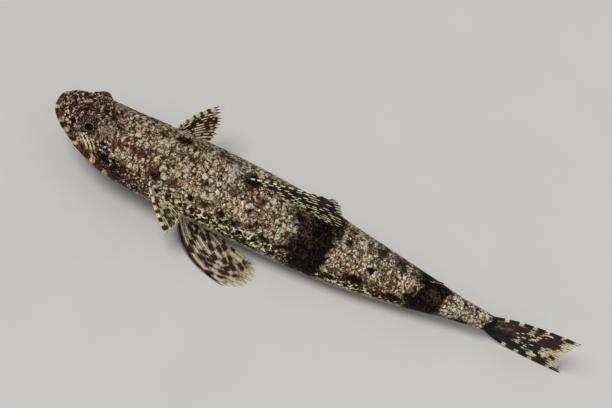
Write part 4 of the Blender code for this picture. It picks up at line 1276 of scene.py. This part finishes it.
def make_fin(name, tree):
    guides, rays, branches, radius, marks, tint, dip, light, pale, deep = FINS[name]
    generator = np.random.default_rng(sum(ord(c) for c in name))
    gap = 1 / (rays - 1)
    points, edges, facts = [], [], []  # the facts of a point: on a ray or not, radius, u and v

    def add_line(us, vs, radii):
        us, vs = np.broadcast_arrays(us, vs)
        place = fin_point(guides, us * ray_reach(name, vs), vs)
        place[:, 2] = np.maximum(place[:, 2], radii + 0.03)
        edges.extend((len(points) + i, len(points) + i + 1) for i in range(len(us) - 1))
        points.extend(place)
        facts.extend(stacked(1.0, radii * MM, us, vs))

    for i in range(rays):
        v = i * gap
        tip = 1.0 - 0.012 * abs(generator.normal())
        split = 0.42 + 0.05 * generator.uniform(-1, 1)
        strong = radius * (1.25 if i in (0, rays - 1) else 1.0)
        if branches == 1:
            us = np.linspace(0.0, tip, RAY_POINTS)
            add_line(us, v, strong * (1 - 0.6 * us) * knots(us))
            continue
        us = np.linspace(0.0, split + 0.02, STEM_POINTS)
        add_line(us, v, strong * (1 - 0.35 * us))
        for side in [b for b in (-1, 1) if 0 <= v + b * 0.2 * gap <= 1]:

            def opening(u):
                return side * 0.23 * gap * smooth(0, 1, (u - split) / (1 - split)) ** 0.7

            us = np.linspace(split, tip, BRANCH_POINTS)
            add_line(us, v + opening(us), strong * (0.80 - 0.55 * us) * 0.85 * knots(us) + 0.05)
            if branches == 4:
                second = 0.70 + 0.03 * generator.uniform(-1, 1)
                us = np.linspace(second, tip * 0.99, TWIG_POINTS)
                more = np.clip(us - second, 0, 1) / (1 - second)
                vs = v + opening(second) * (1 - 0.3 * more) - side * 0.05 * gap * more
                add_line(us, np.clip(vs, 0, 1), strong * (0.62 - 0.5 * us) * knots(us) + 0.05)

    # the skin between the rays: a front and a back sheet, and a rim that joins them
    rows, columns = SKIN_ROWS, (rays - 1) * SKIN_COLUMNS_PER_GAP + 1
    v = np.linspace(0, 1, columns)
    between = np.abs(np.sin(v / gap * math.pi))
    end = 0.985 - dip * between - 0.015 * np.abs(generator.normal(size=columns)) * between
    uu, vv = np.linspace(0, 1, rows)[:, None] * end[None, :], np.repeat(v[None, :], rows, 0)
    along = uu * ray_reach(name, vv)
    place, normal = fin_point(guides, along, vv), fin_normal(guides, along, vv)
    ripple = 0.10 * between * np.sin(uu * 23 + vv * 17)
    first, count = len(points), rows * columns
    for offset in (HALF_SKIN, -HALF_SKIN):
        sheet = (place + normal * (ripple + offset)[..., None]).reshape(-1, 3)
        sheet[:, 2] = np.maximum(sheet[:, 2], FLOOR_GAP)
        points.extend(sheet)
        facts.extend(stacked(0.0, 0.0, uu.ravel(), vv.ravel()))
    quads = grid_faces(rows, columns, False) + first
    faces = quads.tolist() + (quads + count)[:, ::-1].tolist()
    grid = np.arange(first, first + count).reshape(rows, columns)
    rim = np.concatenate([grid[0], grid[1:, -1], grid[-1, -2::-1], grid[-2:0:-1, 0]]).tolist()
    faces += [(b, a, count + a, count + b) for a, b in zip(rim, rim[1:] + rim[:1])]

    points = np.array(points)
    rayness, thick, us, vs = np.array(facts).T
    cream, maroon, black, purple = marks(us, vs, points[:, 0])
    ground = np.maximum(maroon, deep * within(us, 0.05, 0.2, 0.78, 0.92))
    cream = np.clip(cream * np.where(rayness > 0.5, 1.0, pale), 0, 1)
    maroon = np.where(rayness > 0.5, 0.85 * maroon, ground)
    thing = mesh_thing(name + "_shape", to_frame(points), faces, edges)
    store(
        thing.data, "FLOAT_COLOR",
        fin_a=stacked(cream, maroon, black * (1.0 - 0.15 * rayness), purple * (1 - 0.6 * rayness)),
        fin_b=stacked(rayness, tint, light, vs),
    )
    store(thing.data, "FLOAT", is_ray=rayness, radius=thick)
    run_tree(thing, tree, {"Sides": 6, "Finish": FIN})
    drop_layers(thing.data, "is_ray", "radius")
    return thing


tree = fin_tree()
fins = {name: make_fin(name, tree) for name in FINS}


# ---- how the pieces belong to the fish


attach(skin, "root")
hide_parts("head", "jaw_lower", "gill_cover_L", "gill_cover_R", "torso", "tail")
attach(scales, "root")
for name, thing in eyes.items():
    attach(thing, "root")
    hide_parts(name)
for name, thing in fins.items():
    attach(thing, "root")
    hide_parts(name)


# ---- floor, light and camera

VIEW_DOWN, VIEW_TURN = math.radians(50), math.radians(25.5)
VIEW_AIM = (110.9, -0.4, 33.1)  # in the fish's own terms
VIEW_DISTANCE = 0.835
LENS, SENSOR_WIDTH = 120.0, 36.0


def make_floor(half=3.0):
    corners = [(-half, -half, 0), (half, -half, 0), (half, half, 0), (-half, half, 0)]
    thing = mesh_thing("floor", corners, [(0, 1, 2, 3)])
    thing.data.materials.append(floor_material())


def add_light(name, kind, place, size, energy, colour):
    """A soft light that points at the fish; its size is metres for an area and degrees for a sun."""
    data = bpy.data.lights.new(name, kind)
    data.energy, data.color = energy, colour
    if kind == "SUN":
        data.angle = math.radians(size)
    else:
        data.size = size
    thing = new_thing(name, data)
    thing.location = place
    thing.rotation_euler = (-Vector(place)).to_track_quat("-Z", "Y").to_euler()


def add_camera():
    """The photo's view: 50 degrees down on the left side, the fish's tail turned up in the frame."""
    data = bpy.data.cameras.new("camera")
    thing = bpy.context.scene.camera = new_thing("camera", data)
    data.lens, data.sensor_width = LENS, SENSOR_WIDTH
    aim = Vector(to_frame(VIEW_AIM))
    away = Vector((0.0, -math.cos(VIEW_DOWN), math.sin(VIEW_DOWN)))
    level = (-away).to_track_quat("-Z", "Y").to_matrix().to_4x4()
    turned = level @ Matrix.Rotation(VIEW_TURN, 4, "Z")
    thing.matrix_world = Matrix.Translation(aim + away * VIEW_DISTANCE) @ turned


make_floor()
add_light("key", "SUN", (-0.25, -0.20, 0.55), 28.0, 2.0, (1.0, 0.97, 0.92))
add_light("fill", "AREA", (0.45, -0.45, 0.35), 0.7, 0.9, (0.92, 0.96, 1.0))
world = bpy.data.worlds.new("soft_room")
world.use_nodes = True
world.node_tree.nodes["Background"].inputs["Color"].default_value = (0.80, 0.86, 0.92, 1.0)
world.node_tree.nodes["Background"].inputs["Strength"].default_value = 0.38
bpy.context.scene.world = world
bpy.context.scene.view_settings.view_transform = "Standard"
add_camera()
